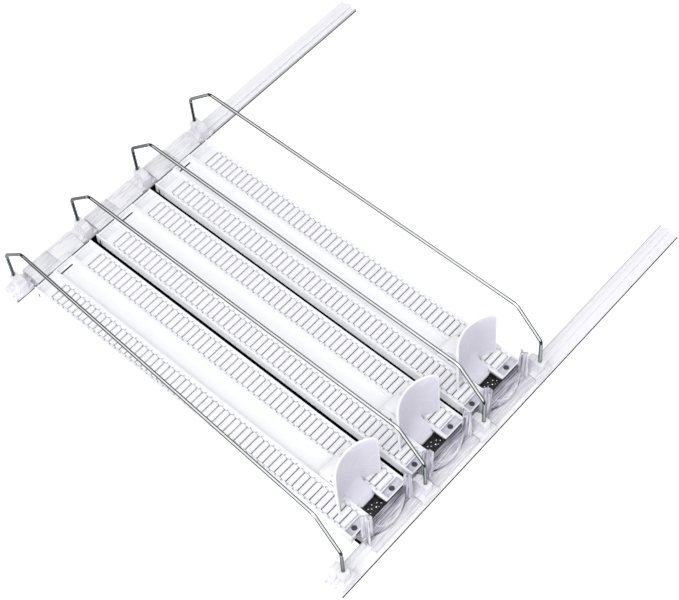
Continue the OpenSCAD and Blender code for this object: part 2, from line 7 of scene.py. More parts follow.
import bmesh
import bpy
from mathutils import Matrix, Vector

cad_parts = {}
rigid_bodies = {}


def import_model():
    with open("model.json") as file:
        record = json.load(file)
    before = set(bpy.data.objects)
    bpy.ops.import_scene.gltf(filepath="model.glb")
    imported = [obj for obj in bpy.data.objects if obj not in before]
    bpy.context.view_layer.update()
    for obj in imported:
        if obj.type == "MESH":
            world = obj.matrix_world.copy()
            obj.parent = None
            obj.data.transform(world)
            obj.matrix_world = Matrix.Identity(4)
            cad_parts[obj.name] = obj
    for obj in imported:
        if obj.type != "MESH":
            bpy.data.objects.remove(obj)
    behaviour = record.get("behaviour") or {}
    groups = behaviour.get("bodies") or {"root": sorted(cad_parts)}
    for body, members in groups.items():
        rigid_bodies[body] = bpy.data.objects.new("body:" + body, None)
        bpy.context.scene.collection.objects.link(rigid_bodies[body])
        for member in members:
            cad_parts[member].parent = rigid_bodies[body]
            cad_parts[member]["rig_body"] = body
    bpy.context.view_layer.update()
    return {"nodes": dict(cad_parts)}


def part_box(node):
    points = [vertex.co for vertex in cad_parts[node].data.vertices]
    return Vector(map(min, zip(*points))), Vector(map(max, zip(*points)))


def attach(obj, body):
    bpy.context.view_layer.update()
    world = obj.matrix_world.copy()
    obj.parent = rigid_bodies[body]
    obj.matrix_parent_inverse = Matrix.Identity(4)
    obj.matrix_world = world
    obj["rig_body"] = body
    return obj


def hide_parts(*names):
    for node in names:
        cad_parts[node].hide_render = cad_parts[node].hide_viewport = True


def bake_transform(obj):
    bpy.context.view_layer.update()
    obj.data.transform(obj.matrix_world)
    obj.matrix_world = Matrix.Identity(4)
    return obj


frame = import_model()
nodes = frame["nodes"]
MM = 0.001
LANES = (1, 2, 3)
DIVIDERS = (1, 2, 3, 4)

# The photographer's table: white paper that runs on behind the organiser, two soft boxes and a pale
# room. The camera looks down from the front left through a long lens. Deep between the trays and
# under their ends the paper's colour is painted dark as shade.

VIEW_FROM = Vector((-560.7, -521.9, 1111.0)) * MM
VIEW_ALONG = Vector((0.4007, 0.3762, -0.8354))
VIEW_UP = Vector((0.636, 0.542, 0.549))
FOCAL_PIXELS = 1626.0
PHOTO_WIDTH = 679
TABLE_HALF = 6
ROOM_TOP = (0.62, 0.62, 0.635, 1)
ROOM_SIDE = (0.8, 0.8, 0.815, 1)
ROOM_HIGH = 0.7
DEEP_SHADE = "#050507"
CREVICE_REACH = 14 * MM
CREVICE_CLOSED, CREVICE_OPEN = 0.6, 0.7
PAPER_GLOW = 0.45
SHADE_SOFT = 1 * MM
SHADE_INSET = 6 * MM
SHADE_SKEW = -0.015


def linear(colour):
    """The linear colour of an sRGB hex value, such as "#F4F7FB"."""
    values = [int(colour[i:i + 2], 16) / 255 for i in (1, 3, 5)]
    return [v / 12.92 if v <= 0.04045 else ((v + 0.055) / 1.055) ** 2.4 for v in values] + [1.0]


def add(tree, kind, inputs=None, **settings):
    """Adds a node of that kind to a tree. inputs maps a socket's name or number to a value or to the
    output that feeds it, and settings are the node's own properties."""
    node = tree.nodes.new(kind)
    for name, value in settings.items():
        setattr(node, name, value)
    for name, value in (inputs or {}).items():
        socket = node.inputs[name]
        if isinstance(value, bpy.types.NodeSocket):
            tree.links.new(value, socket)
        else:
            socket.default_value = value
    return node


def new_material(name):
    """An empty node material and its tree."""
    material = bpy.data.materials.new(name)
    material.use_nodes = True
    material.node_tree.nodes.clear()
    return material, material.node_tree


def place_in(tree):
    """The texture coordinates of a tree, where they are along X, Y and Z, and how far they are from the
    middle between the rails."""
    place = add(tree, "ShaderNodeTexCoord")
    where = add(tree, "ShaderNodeSeparateXYZ", {0: place.outputs["Object"]})
    off_middle = add(tree, "ShaderNodeMath", {0: where.outputs["Y"]}, operation="ABSOLUTE")
    return place.outputs, where.outputs, off_middle.outputs[0]


def in_scene(name, data):
    """A new object in the scene that shows that mesh, lamp or camera."""
    thing = bpy.data.objects.new(name, data)
    bpy.context.scene.collection.objects.link(thing)
    return thing


camera_data = bpy.data.cameras.new("camera")
camera_data.sensor_width = 36
camera_data.lens = camera_data.sensor_width * FOCAL_PIXELS / PHOTO_WIDTH
camera_data.clip_start = 0.05
camera = in_scene("camera", camera_data)
view_side = VIEW_ALONG.cross(VIEW_UP).normalized()
view_up = view_side.cross(VIEW_ALONG).normalized()
camera.matrix_world = Matrix.Translation(VIEW_FROM) @ Matrix(
    (view_side, view_up, -VIEW_ALONG.normalized())).transposed().to_4x4()
bpy.context.scene.camera = camera
bpy.context.scene.view_settings.view_transform = "Standard"


def seen_ray(tree):
    """The output of a tree that is 1 for what is seen straight, mirrored or through a clear piece, and
    0 for light that only falls on a surface."""
    ray = add(tree, "ShaderNodeLightPath")
    mirrored = add(tree, "ShaderNodeMath",
                   {0: ray.outputs["Is Camera Ray"], 1: ray.outputs["Is Glossy Ray"]}, operation="MAXIMUM")
    seen = add(tree, "ShaderNodeMath",
               {0: mirrored.outputs[0], 1: ray.outputs["Is Transmission Ray"]}, operation="MAXIMUM")
    return seen.outputs[0]


world = bpy.data.worlds.new("pale room")
world.use_nodes = True
t = world.node_tree
t.nodes.clear()
direction = add(t, "ShaderNodeTexCoord")
upwards = add(t, "ShaderNodeSeparateXYZ", {0: direction.outputs["Generated"]})
height = add(t, "ShaderNodeMapRange", {"Value": upwards.outputs["Z"], "From Max": ROOM_HIGH})
room = add(t, "ShaderNodeMix", {0: height.outputs["Result"], 6: ROOM_SIDE, 7: ROOM_TOP}, data_type="RGBA")
air = add(t, "ShaderNodeMix", {0: seen_ray(t), 6: room.outputs[2], 7: (1, 1, 1, 1)}, data_type="RGBA")
sky = add(t, "ShaderNodeBackground", {"Color": air.outputs[2]})
add(t, "ShaderNodeOutputWorld", {"Surface": sky.outputs[0]})
bpy.context.scene.world = world


def soft_box(name, place, size, power):
    """A square lamp behind diffusing cloth, turned to the middle of the table."""
    data = bpy.data.lights.new(name, "AREA")
    data.shape = "SQUARE"
    data.size = size
    data.energy = power
    lamp = in_scene(name, data)
    turn = Vector(place).to_track_quat("Z", "Y")
    lamp.matrix_world = Matrix.Translation(place) @ turn.to_matrix().to_4x4()


soft_box("key", (-1.1, -0.5, 1.7), 1.4, 18)
soft_box("fill", (-1.7, -0.6, 0.9), 1.0, 5)

table_mesh = bpy.data.meshes.new("table")
table_mesh.from_pydata([(-TABLE_HALF, -TABLE_HALF, 0), (TABLE_HALF, -TABLE_HALF, 0),
                        (TABLE_HALF, TABLE_HALF, 0), (-TABLE_HALF, TABLE_HALF, 0)], [], [(0, 1, 2, 3)])
table = in_scene("table", table_mesh)
rail_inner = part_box("back_rail")[0].y
trays_from, trays_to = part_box("tray_1")[0].x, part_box("tray_3")[1].x
table_paper, t = new_material("white table paper")
# Smooth matt paper that the lamps burn out to pure white, without a shadow. Its colour is painted dark
# as shade only where the pieces close it in on every side, which is kept to the space between the rails
# and the outer trays.
around = add(t, "ShaderNodeAmbientOcclusion", {"Distance": CREVICE_REACH}, samples=48)
_, where, off_middle = place_in(t)
past_rails = add(t, "ShaderNodeMapRange", {"Value": off_middle, "From Min": rail_inner,
                                           "From Max": rail_inner + SHADE_SOFT})
skewed = add(t, "ShaderNodeMath", {0: where["Y"], 1: SHADE_SKEW, 2: where["X"]}, operation="MULTIPLY_ADD")
past_left = add(t, "ShaderNodeMapRange",
                {"Value": skewed.outputs[0], "From Min": trays_from + SHADE_INSET + SHADE_SOFT,
                 "From Max": trays_from + SHADE_INSET})
past_right = add(t, "ShaderNodeMapRange", {"Value": where["X"], "From Min": trays_to - SHADE_SOFT,
                                           "From Max": trays_to})
open_air = around.outputs["AO"]
for past in (past_rails, past_left, past_right):
    open_air = add(t, "ShaderNodeMath", {0: open_air, 1: past.outputs[0]}, operation="MAXIMUM").outputs[0]
shade = add(t, "ShaderNodeMapRange", {"Value": open_air, "From Min": CREVICE_CLOSED,
                                      "From Max": CREVICE_OPEN})
seen = seen_ray(t)
unseen = add(t, "ShaderNodeMath", {0: 1.0, 1: seen}, operation="SUBTRACT")
tone = add(t, "ShaderNodeMath", {0: shade.outputs["Result"], 1: unseen.outputs[0]}, operation="MAXIMUM")
paper = add(t, "ShaderNodeMix",
            {0: tone.outputs[0], 6: linear(DEEP_SHADE), 7: (1, 1, 1, 1)}, data_type="RGBA")
matte = add(t, "ShaderNodeBsdfDiffuse", {"Color": paper.outputs[2]})
lift = add(t, "ShaderNodeMath", {0: seen, 1: PAPER_GLOW}, operation="MULTIPLY")
glow = add(t, "ShaderNodeEmission", {"Color": paper.outputs[2], "Strength": lift.outputs[0]})
lit = add(t, "ShaderNodeAddShader", {0: matte.outputs[0], 1: glow.outputs[0]})
add(t, "ShaderNodeOutputMaterial", {"Surface": lit.outputs[0]})
table_mesh.materials.append(table_paper)

# The two rails: a clear flexible profile, extruded and sawn to length, with a flat flange, a ridge
# with a tee head and an inner lip. They lie loose on the shelf, and everything else snaps on them.

FLANGE_TOP = 1.9 * MM
LIP_LINE = 0.9 * MM
MASK_SOFT = 0.1 * MM

rail_vinyl, t = new_material("clear extruded vinyl")
# Extruded: glossy, nearly colourless, faintly blue in the thickness. The low long edge that faces the
# front is painted nearly black as shade, and fainter painted shade lines run along the lip's edge and
# the sawn end. Fine draw lines run along the profile, about 1 mm apart.
place, where, off_middle = place_in(t)
facing = add(t, "ShaderNodeSeparateXYZ", {0: place["Normal"]})
to_front = add(t, "ShaderNodeMapRange", {"Value": facing.outputs["Y"], "From Min": -0.5, "From Max": -0.65})
low = add(t, "ShaderNodeMapRange", {"Value": where["Z"], "From Min": FLANGE_TOP,
                                    "From Max": FLANGE_TOP - MASK_SOFT})
edge = add(t, "ShaderNodeMath", {0: to_front.outputs["Result"], 1: low.outputs["Result"]},
           operation="MULTIPLY")
tint = add(t, "ShaderNodeMix", {0: edge.outputs[0], 6: linear("#FCFCFF"), 7: linear("#0E1012")},
           data_type="RGBA")
lip_shade_line = add(t, "ShaderNodeMapRange", {"Value": off_middle, "From Min": rail_inner + LIP_LINE + MASK_SOFT,
                                    "From Max": rail_inner + LIP_LINE, "To Max": 0.5})
sawn_end_shade = add(t, "ShaderNodeMapRange", {"Value": facing.outputs["X"], "From Min": 0.7, "From Max": 0.8,
                                     "To Max": 0.35})
outline = add(t, "ShaderNodeMath", {0: lip_shade_line.outputs["Result"], 1: sawn_end_shade.outputs["Result"]},
              operation="MAXIMUM")
tint = add(t, "ShaderNodeMix", {0: outline.outputs[0], 6: tint.outputs[2], 7: linear("#55585C")},
           data_type="RGBA")
clear = add(t, "ShaderNodeMapRange", {"Value": edge.outputs[0], "To Min": 0.02, "To Max": 0.0})
lines = add(t, "ShaderNodeMapping", {"Vector": place["Object"], "Scale": (4, 900, 900)})
draw = add(t, "ShaderNodeTexNoise", {"Vector": lines.outputs[0], "Scale": 1.0, "Detail": 2.0})
relief = add(t, "ShaderNodeBump", {"Height": draw.outputs["Fac"], "Strength": 0.3, "Distance": 0.05 * MM})
body = add(t, "ShaderNodeBsdfPrincipled",
           {"Base Color": tint.outputs[2], "Roughness": 0.14, "IOR": 1.25,
            "Transmission Weight": clear.outputs["Result"], "Normal": relief.outputs[0]})
add(t, "ShaderNodeOutputMaterial", {"Surface": body.outputs[0]})


def finish_node(name, material):
    """Gives a carried-over node of the frame its finish."""
    mesh = nodes[name].data
    mesh.materials.clear()
    mesh.materials.append(material)


for name in ("front_rail", "back_rail"):
    finish_node(name, rail_vinyl)

# The trays: white ABS, injection moulded in one piece with the pusher's channel, the bearing notches
# of the rollers and the recesses that the stop's studs snap into.

RECESS_FROM = 161.5 * MM
RECESS_SHADE_TOP, RECESS_SHADE_LOW = 8.8 * MM, 7.5 * MM
CHANNEL_OUT = 12.5 * MM
SLOT_HALF = 0.9 * MM
SLOT_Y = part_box("tray_1")[1].y - 4 * MM
FLOOR_TOP = 5.5 * MM
LAST_LANE = sum(corner.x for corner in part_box("tray_3")) / 2
LANE_PITCH = (LAST_LANE - sum(corner.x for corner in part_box("tray_1")) / 2) / 2

tray_abs, t = new_material("white moulded ABS, satin")
# Moulded in a finely spark-eroded tool: an even satin white with a cold cast, painted a little greyer
# as shade in the narrowest gaps. The tool's grain is about 0.25 mm.
place, where, off_middle = place_in(t)
nook = add(t, "ShaderNodeAmbientOcclusion", {"Distance": 1.2 * MM}, samples=8)
painted_crease_shade = add(t, "ShaderNodeMapRange", {"Value": nook.outputs["AO"], "From Min": 0.1, "From Max": 0.6})
tint = add(t, "ShaderNodeMix",
           {0: painted_crease_shade.outputs["Result"], 6: linear("#F0F1F6"), 7: linear("#FBFCFE")}, data_type="RGBA")
# The snap recesses at both ends are deep and narrow, and are painted in a lavender shade. The painted
# shade is stronger at the front, and the clouds in it are about 5 mm wide. The slot in the floor is
# painted black as shade.
at_end = add(t, "ShaderNodeMapRange", {"Value": off_middle, "From Min": RECESS_FROM,
                                       "From Max": RECESS_FROM + 0.5 * MM})
sunk = add(t, "ShaderNodeMapRange", {"Value": where["Z"], "From Min": RECESS_SHADE_TOP,
                                     "From Max": RECESS_SHADE_LOW})
in_lane = add(t, "ShaderNodeMath", {0: where["X"], 1: LAST_LANE + LANE_PITCH, 2: LAST_LANE},
              operation="WRAP")
from_lane = add(t, "ShaderNodeMath", {0: in_lane.outputs[0], 1: LAST_LANE + LANE_PITCH / 2},
                operation="SUBTRACT")
sideways = add(t, "ShaderNodeMath", {0: from_lane.outputs[0]}, operation="ABSOLUTE")
beside = add(t, "ShaderNodeMapRange",
             {"Value": sideways.outputs[0], "From Min": LANE_PITCH / 2 - CHANNEL_OUT,
              "From Max": LANE_PITCH / 2 - CHANNEL_OUT - 0.3 * MM})
ahead = add(t, "ShaderNodeMapRange", {"Value": where["Y"], "From Min": -0.1, "From Max": 0.1,
                                      "To Min": 0.85, "To Max": 0.3})
painted_recess_shade = at_end
for part in (sunk, beside, ahead):
    painted_recess_shade = add(t, "ShaderNodeMath", {0: painted_recess_shade.outputs[0], 1: part.outputs[0]}, operation="MULTIPLY")
from_slot = add(t, "ShaderNodeMath", {0: where["Y"], 1: SLOT_Y}, operation="SUBTRACT")
off_slot = add(t, "ShaderNodeMath", {0: from_slot.outputs[0]}, operation="ABSOLUTE")
in_slot = add(t, "ShaderNodeMath", {0: off_slot.outputs[0], 1: SLOT_HALF}, operation="LESS_THAN")
in_floor = add(t, "ShaderNodeMath", {0: where["Z"], 1: FLOOR_TOP - 0.05 * MM}, operation="LESS_THAN")
slot_shade = add(t, "ShaderNodeMath", {0: in_slot.outputs[0], 1: in_floor.outputs[0]}, operation="MULTIPLY")
cloud = add(t, "ShaderNodeTexNoise", {"Vector": place["Object"], "Scale": 220.0, "Detail": 2.0})
recess_shade_tone = add(t, "ShaderNodeMix", {0: cloud.outputs["Fac"], 6: linear("#C4C3CF"), 7: linear("#EEEEF4")},
                data_type="RGBA")
tint = add(t, "ShaderNodeMix", {0: painted_recess_shade.outputs[0], 6: tint.outputs[2], 7: recess_shade_tone.outputs[2]},
           data_type="RGBA")
tint = add(t, "ShaderNodeMix", {0: slot_shade.outputs[0], 6: tint.outputs[2], 7: linear("#1B1B1F")},
           data_type="RGBA")
grain = add(t, "ShaderNodeTexNoise", {"Vector": place["Object"], "Scale": 4000.0, "Detail": 1.0})
relief = add(t, "ShaderNodeBump", {"Height": grain.outputs["Fac"], "Strength": 0.15, "Distance": 0.02 * MM})
body = add(t, "ShaderNodeBsdfPrincipled",
           {"Base Color": tint.outputs[2], "Roughness": 0.42, "IOR": 1.53, "Normal": relief.outputs[0]})
add(t, "ShaderNodeOutputMaterial", {"Surface": body.outputs[0]})

for i in LANES:
    finish_node(f"tray_{i}", tray_abs)

# The rollers: white acetal, turned smooth, two rows in each tray. Each has two stub axles that drop
# into the notches of the tray's bars.

ROLLER_COUNT = 53
ROLLER_PITCH = 6 * MM
ROLLER_R = 2.65 * MM
ROLLER_EDGE = 0.35 * MM
ROLLER_L = 15.25 * MM
STUB_R = 0.8 * MM
STUB_L = 1.9 * MM
ROLLER_SIDES = 16

roller_acetal, t = new_material("white acetal")
# Turned and tumbled: a waxy white, smoother than the tray, with a soft wide highlight, painted a
# little greyer as shade in the narrowest gaps.
nook = add(t, "ShaderNodeAmbientOcclusion", {"Distance": 1.6 * MM}, samples=8)
painted_crease_shade = add(t, "ShaderNodeMapRange", {"Value": nook.outputs["AO"], "From Min": 0.1, "From Max": 0.6})
tint = add(t, "ShaderNodeMix",
           {0: painted_crease_shade.outputs["Result"], 6: linear("#EEF0F3"), 7: linear("#FCFCFE")}, data_type="RGBA")
body = add(t, "ShaderNodeBsdfPrincipled",
           {"Base Color": tint.outputs[2], "Roughness": 0.32, "IOR": 1.48})
add(t, "ShaderNodeOutputMaterial", {"Surface": body.outputs[0]})


def mesh_of(name, shape):
    """The mesh of a bmesh, which is used up."""
    mesh = bpy.data.meshes.new(name)
    shape.to_mesh(mesh)
    shape.free()
    return mesh


def turned(shape, profile, sides):
    """Turns a profile of (place along X, radius) pairs round the X axis, closed at both ends."""
    angles = [2 * math.pi * k / sides for k in range(sides)]
    rings = [[shape.verts.new((x, r * math.cos(a), r * math.sin(a))) for a in angles] for x, r in profile]
    for left, right in zip(rings, rings[1:]):
        for k in range(sides):
            shape.faces.new((left[k], right[k], right[(k + 1) % sides], left[(k + 1) % sides]))
    shape.faces.new(rings[0])
    shape.faces.new(rings[-1][::-1])
    bmesh.ops.recalc_face_normals(shape, faces=shape.faces)


def shape_tree(name, sizes):
    """A Geometry Nodes tree that takes a mesh and the named sizes, given as {name: kind of socket}."""
    tree = bpy.data.node_groups.new(name, "GeometryNodeTree")
    tree.interface.new_socket("Geometry", in_out="INPUT", socket_type="NodeSocketGeometry")
    for label, kind in sizes.items():
        tree.interface.new_socket(label, in_out="INPUT", socket_type="NodeSocket" + kind)
    tree.interface.new_socket("Geometry", in_out="OUTPUT", socket_type="NodeSocketGeometry")
    return tree, tree.nodes.new("NodeGroupInput").outputs


def finish_tree(tree, geometry, material):
    """Ends a tree: its instances are made real and get the material."""
    real = add(tree, "GeometryNodeRealizeInstances", {0: geometry})
    dressed = add(tree, "GeometryNodeSetMaterial", {"Geometry": real.outputs[0], "Material": material})
    end = tree.nodes.new("NodeGroupOutput")
    tree.links.new(dressed.outputs[0], end.inputs[0])


def grown(name, mesh, tree, sizes, smooth=35):
    """An object whose mesh is what the tree makes of the given mesh with those sizes. Edges sharper
    than smooth degrees stay sharp."""
    thing = in_scene(name, mesh)
    maker = thing.modifiers.new("maker", "NODES")
    maker.node_group = tree
    for item in tree.interface.items_tree:
        if item.in_out == "INPUT" and item.name in sizes:
            maker[item.identifier] = sizes[item.name]
    made = bpy.data.meshes.new_from_object(
        thing.evaluated_get(bpy.context.evaluated_depsgraph_get()))
    thing.modifiers.remove(maker)
    thing.data = made
    made.shade_smooth()
    made.set_sharp_from_angle(angle=math.radians(smooth))
    return thing


def stands_for(thing, slot, *names):
    """Says that a piece takes the place of those nodes and rides as the first does. Its slot is not used.
    """
    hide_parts(*names)
    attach(thing, nodes[names[0]]["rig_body"])


roller_rows, given = shape_tree("roller rows", {"Count": "Int", "First": "Vector", "Step": "Vector",
                                                "Across": "Vector"})
row = add(roller_rows, "GeometryNodeMeshLine",
          {"Count": given["Count"], "Start Location": given["First"], "Offset": given["Step"]},
          mode="OFFSET")
other_row = add(roller_rows, "GeometryNodeTransform",
                {"Geometry": row.outputs[0], "Translation": given["Across"]})
both_rows = add(roller_rows, "GeometryNodeJoinGeometry", {0: row.outputs[0]})
roller_rows.links.new(other_row.outputs[0], both_rows.inputs[0])
placed = add(roller_rows, "GeometryNodeInstanceOnPoints",
             {"Points": both_rows.outputs[0], "Instance": given["Geometry"]})
finish_tree(roller_rows, placed.outputs[0], roller_acetal)

for i in LANES:
    low_corner, high_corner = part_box(f"rollers_{i}")
    half = ROLLER_L / 2
    row_x = (high_corner.x - low_corner.x) / 2 - half - STUB_L
    one = bmesh.new()
    turned(one, [(-half - STUB_L, STUB_R), (-half, STUB_R), (-half, ROLLER_R - ROLLER_EDGE),
                 (-half + ROLLER_EDGE, ROLLER_R), (half - ROLLER_EDGE, ROLLER_R),
                 (half, ROLLER_R - ROLLER_EDGE), (half, STUB_R), (half + STUB_L, STUB_R)], ROLLER_SIDES)
    first = Vector(((low_corner.x + high_corner.x) / 2 - row_x, low_corner.y + ROLLER_R,
                    (low_corner.z + high_corner.z) / 2))
    rollers = grown(f"turned_rollers_{i}", mesh_of("roller", one), roller_rows,
                    {"Count": ROLLER_COUNT, "First": first, "Step": Vector((0, ROLLER_PITCH, 0)),
                     "Across": Vector((2 * row_x, 0, 0))})
    stands_for(rollers, "roller_plastic", f"rollers_{i}")

# The pushers: white ABS, moulded in one piece. A plate with the can's curve sweeps down into a foot,
# and behind it two cheeks under a hood carry the coiled spring. Runners below the cheeks slide under
# the channel's lips.

CAN_R = 33 * MM
PLATE_T = 2.2 * MM
PLATE_HALF = 22.5 * MM
PLATE_TOP = 64 * MM
PLATE_FOOT = 11.6 * MM
PLATE_LEAN = math.radians(3.3)
LEAN_FROM = 13 * MM
TOP_CORNER = 6 * MM
FOOT_CORNER = 3.5 * MM
FOOT_HALF = 8.2 * MM
COIL_GAP = 2.2 * MM
SWEEP_R = 13 * MM
HEEL_TOP = 11.2 * MM
TOE_TOP = 9.5 * MM
TOE_CORNER = 3 * MM
SOLE = 6.5 * MM
CHEEK_T = 1.4 * MM
HOOD_T = 1.4 * MM
RUNNER_OUT = 9.3 * MM
RUNNER_LOW, RUNNER_TOP = 5.7 * MM, 8.8 * MM
NECK_TOP = 10.4 * MM
COIL_R = 9.2 * MM
HOOD_R = COIL_R + 1 * MM
CHEEK_RISE = 22 * MM
PIN_R = 1.5 * MM
PIN_EDGE = 0.3 * MM


def moulded(name, tones):
    """Polished white ABS between two tones. Its ripples are about 22 mm long and its clouds 33 mm, and in
    the paler clouds painted reflection streaks follow the contours of a 38 mm swell."""
    material, t = new_material(name)
    place = add(t, "ShaderNodeTexCoord")
    ripple = add(t, "ShaderNodeTexNoise", {"Vector": place.outputs["Object"], "Scale": 45.0, "Detail": 3.0})
    relief = add(t, "ShaderNodeBump", {"Height": ripple.outputs["Fac"], "Strength": 0.25,
                                       "Distance": 0.5 * MM})
    clouds = add(t, "ShaderNodeTexNoise", {"Vector": place.outputs["Object"], "Scale": 30.0, "Detail": 2.0})
    tint = add(t, "ShaderNodeMix", {0: clouds.outputs["Fac"], 6: linear(tones[0]), 7: linear(tones[1])},
               data_type="RGBA")
    swell = add(t, "ShaderNodeTexNoise", {"Vector": place.outputs["Object"], "Scale": 26.0, "Detail": 1.5})
    bands = add(t, "ShaderNodeMath", {0: swell.outputs["Fac"], 1: 14.0}, operation="MULTIPLY")
    across = add(t, "ShaderNodeMath", {0: bands.outputs[0]}, operation="FRACT")
    painted_reflection_band = add(t, "ShaderNodeMapRange", {"Value": across.outputs[0], "From Min": 0.0, "From Max": 0.2,
                                         "To Min": 0.5, "To Max": 0.0})
    patch = add(t, "ShaderNodeMapRange", {"Value": clouds.outputs["Fac"], "From Min": 0.45,
                                          "From Max": 0.6})
    painted_reflection_band = add(t, "ShaderNodeMath", {0: painted_reflection_band.outputs["Result"], 1: patch.outputs["Result"]},
               operation="MULTIPLY")
    tint = add(t, "ShaderNodeMix", {0: painted_reflection_band.outputs[0], 6: tint.outputs[2], 7: linear("#F6F5FA")},
               data_type="RGBA")
    body = add(t, "ShaderNodeBsdfPrincipled",
               {"Base Color": tint.outputs[2], "Roughness": 0.24, "IOR": 1.53,
                "Normal": relief.outputs[0]})
    add(t, "ShaderNodeOutputMaterial", {"Surface": body.outputs[0]})
    return material


# The plate is a shaded copy of the white ABS, painted lavender grey as shade, with faint painted
# reflection streaks. Its rim and the carriage behind it take a lit copy, painted white as light.
shaded_plate_abs = moulded("moulded ABS plate, lavender grey", ("#DBD9E5", "#E6E4EE"))
lit_white_abs = moulded("moulded ABS, bright rim", ("#F9F9FD", "#FDFDFF"))


def plate_columns():
    """The pusher's plate as columns from left to right. Each has its angle round the can's axis, its
    reach past the plate's straight edge, its thickness and how far the foot's sweep shows in it."""
    columns = []
    edge = math.degrees(math.asin(PLATE_HALF / CAN_R))
    for turn in (90, 60, 30):
        columns.append((edge, math.sin(math.radians(turn)), math.cos(math.radians(turn)), 0))
    for x, sweep in ((22.5, 0), (21.5, 0), (20.3, 0), (18, 0), (15.5, 0), (13, 0), (11.4, 0), (10.3, 0.04),
                     (9.6, 0.2), (9.0, 0.5), (8.5, 0.85), (8.21, 1), (8.2, 2), (8.0, 2), (7.6, 2), (7.0, 2),
                     (6.2, 2), (5.2, 2), (3.5, 2), (1.8, 2), (0, 2)):
        columns.append((math.degrees(math.asin(x * MM / CAN_R)), 0, 1, sweep))
    left = [(-angle, -reach, thick, sweep) for angle, reach, thick, sweep in columns]
    return left + columns[-2::-1]


def plate_loop(angle, reach, thick, sweep, toe_front):
    """One closed column of the plate, as (x, y, z) points from the can's axis: over the top, down the
    front, round the foot or the lower edge, and up the back."""
    a = math.radians(angle)
    half_t = PLATE_T / 2 * thick
    shift = PLATE_T / 2 * reach
    x_mid = abs((CAN_R + PLATE_T / 2) * math.sin(a) + shift * math.cos(a))
    outer = (CAN_R + PLATE_T / 2) * math.sin(math.asin(PLATE_HALF / CAN_R)) + PLATE_T / 2
    into_top = max(0, x_mid - (outer - TOP_CORNER))
    into_foot = max(0, x_mid - (outer - FOOT_CORNER))
    top = PLATE_TOP - TOP_CORNER + math.sqrt(max(0, TOP_CORNER ** 2 - into_top ** 2)) - half_t
    low = PLATE_FOOT + FOOT_CORNER - math.sqrt(max(0, FOOT_CORNER ** 2 - into_foot ** 2)) + half_t
    points = []

    def at(r, z, forward=0):
        lean = (z - LEAN_FROM) * math.tan(PLATE_LEAN)
        points.append((r * math.sin(a) + shift * math.cos(a),
                       r * math.cos(a) - shift * math.sin(a) + lean - forward, z))

    front, back, middle = (CAN_R + PLATE_T / 2 + k * half_t for k in (-1, 1, 0))
    for turn in (150, 120, 90, 60, 30):
        at(middle - half_t * math.cos(math.radians(turn)), top + half_t * math.sin(math.radians(turn)))
    bend_z = HEEL_TOP + SWEEP_R
    for k in range(9):
        at(front, top + (bend_z - top) * k / 9)
    for k in range(11):
        turn = math.radians(9 * k)
        z = bend_z - SWEEP_R * math.sin(turn)
        forward = SWEEP_R * (1 - math.cos(turn))
        if sweep < 2:
            at(front, max(z, low), forward * sweep * (0 if z < low else 1))
        else:
            at(front, z, forward)
    if sweep < 2:
        for k in range(9):
            turn = math.radians(20 * (k + 0.5))
            at(middle - half_t * math.cos(turn), low - half_t * math.sin(turn))
    else:
        x = abs(points[-1][0])
        past = max(0, x - (FOOT_HALF - TOE_CORNER))
        toe = toe_front + TOE_CORNER - math.sqrt(max(0, TOE_CORNER ** 2 - past ** 2))
        for y, z in ((toe + 1.4 * MM, TOE_TOP + 0.15 * MM), (toe + 0.7 * MM, TOE_TOP - 0.1 * MM),
                     (toe + 0.2 * MM, TOE_TOP - 0.6 * MM), (toe, TOE_TOP - 1.2 * MM),
                     (toe, SOLE + 0.3 * MM), (toe + 0.3 * MM, SOLE)):
            points.append((points[-1][0], y, z))
        for k in range(3):
            at(front + (back - front) * k / 2, SOLE)
    for k in range(8):
        at(back, (low if sweep < 2 else SOLE) + (top - (low if sweep < 2 else SOLE)) * (k + 1) / 9)
    return points


def slab(shape, outline, across, low, high):
    """Adds a straight solid: its outline runs from low to high along the axis across. The outline is
    (y, z) pairs for x, (x, z) for y and (x, y) for z."""
    place = {"x": lambda u, v, w: (w, u, v), "y": lambda u, v, w: (u, w, v),
             "z": lambda u, v, w: (u, v, w)}[across]
    ends = [[shape.verts.new(place(u, v, w)) for u, v in outline] for w in (low, high)]
    faces = [shape.faces.new(ends[0]), shape.faces.new(ends[1][::-1])]
    for k in range(len(outline)):
        j = (k + 1) % len(outline)
        faces.append(shape.faces.new((ends[0][j], ends[0][k], ends[1][k], ends[1][j])))
    bmesh.ops.recalc_face_normals(shape, faces=faces)
    return faces


def box_outline(u0, v0, u1, v1):
    """The corners of a rectangle between two opposite ones."""
    return [(u0, v0), (u1, v0), (u1, v1), (u0, v1)]


def rounded(name, mesh, material, width, segments=2, keep=35):
    """An object of that mesh, with every edge sharper than keep degrees broken by a small round, as
    a mould leaves it."""
    thing = in_scene(name, mesh)
    if material:
        mesh.materials.append(material)
    soft = thing.modifiers.new("soft edges", "BEVEL")
    soft.width = width
    soft.segments = segments
    soft.limit_method = "ANGLE"
    soft.angle_limit = math.radians(keep)
    soft.use_clamp_overlap = True
    made = bpy.data.meshes.new_from_object(
        thing.evaluated_get(bpy.context.evaluated_depsgraph_get()))
    thing.modifiers.remove(soft)
    thing.data = made
    made.shade_smooth()
    made.set_sharp_from_angle(angle=math.radians(keep))
    return thing


def merged(first, *others):
    """Joins the meshes of objects that sit at the origin into the first one."""
    shape = bmesh.new()
    for thing in (first, *others):
        offset = len(first.data.materials) if thing is not first and thing.data.materials else 0
        before = len(shape.faces)
        shape.from_mesh(thing.data)
        shape.faces.ensure_lookup_table()
        if offset:
            for face in shape.faces[before:]:
                face.material_index += offset
            for material in thing.data.materials:
                first.data.materials.append(material)
    shape.to_mesh(first.data)
    shape.free()
    for thing in others:
        bpy.data.objects.remove(thing)
    return first


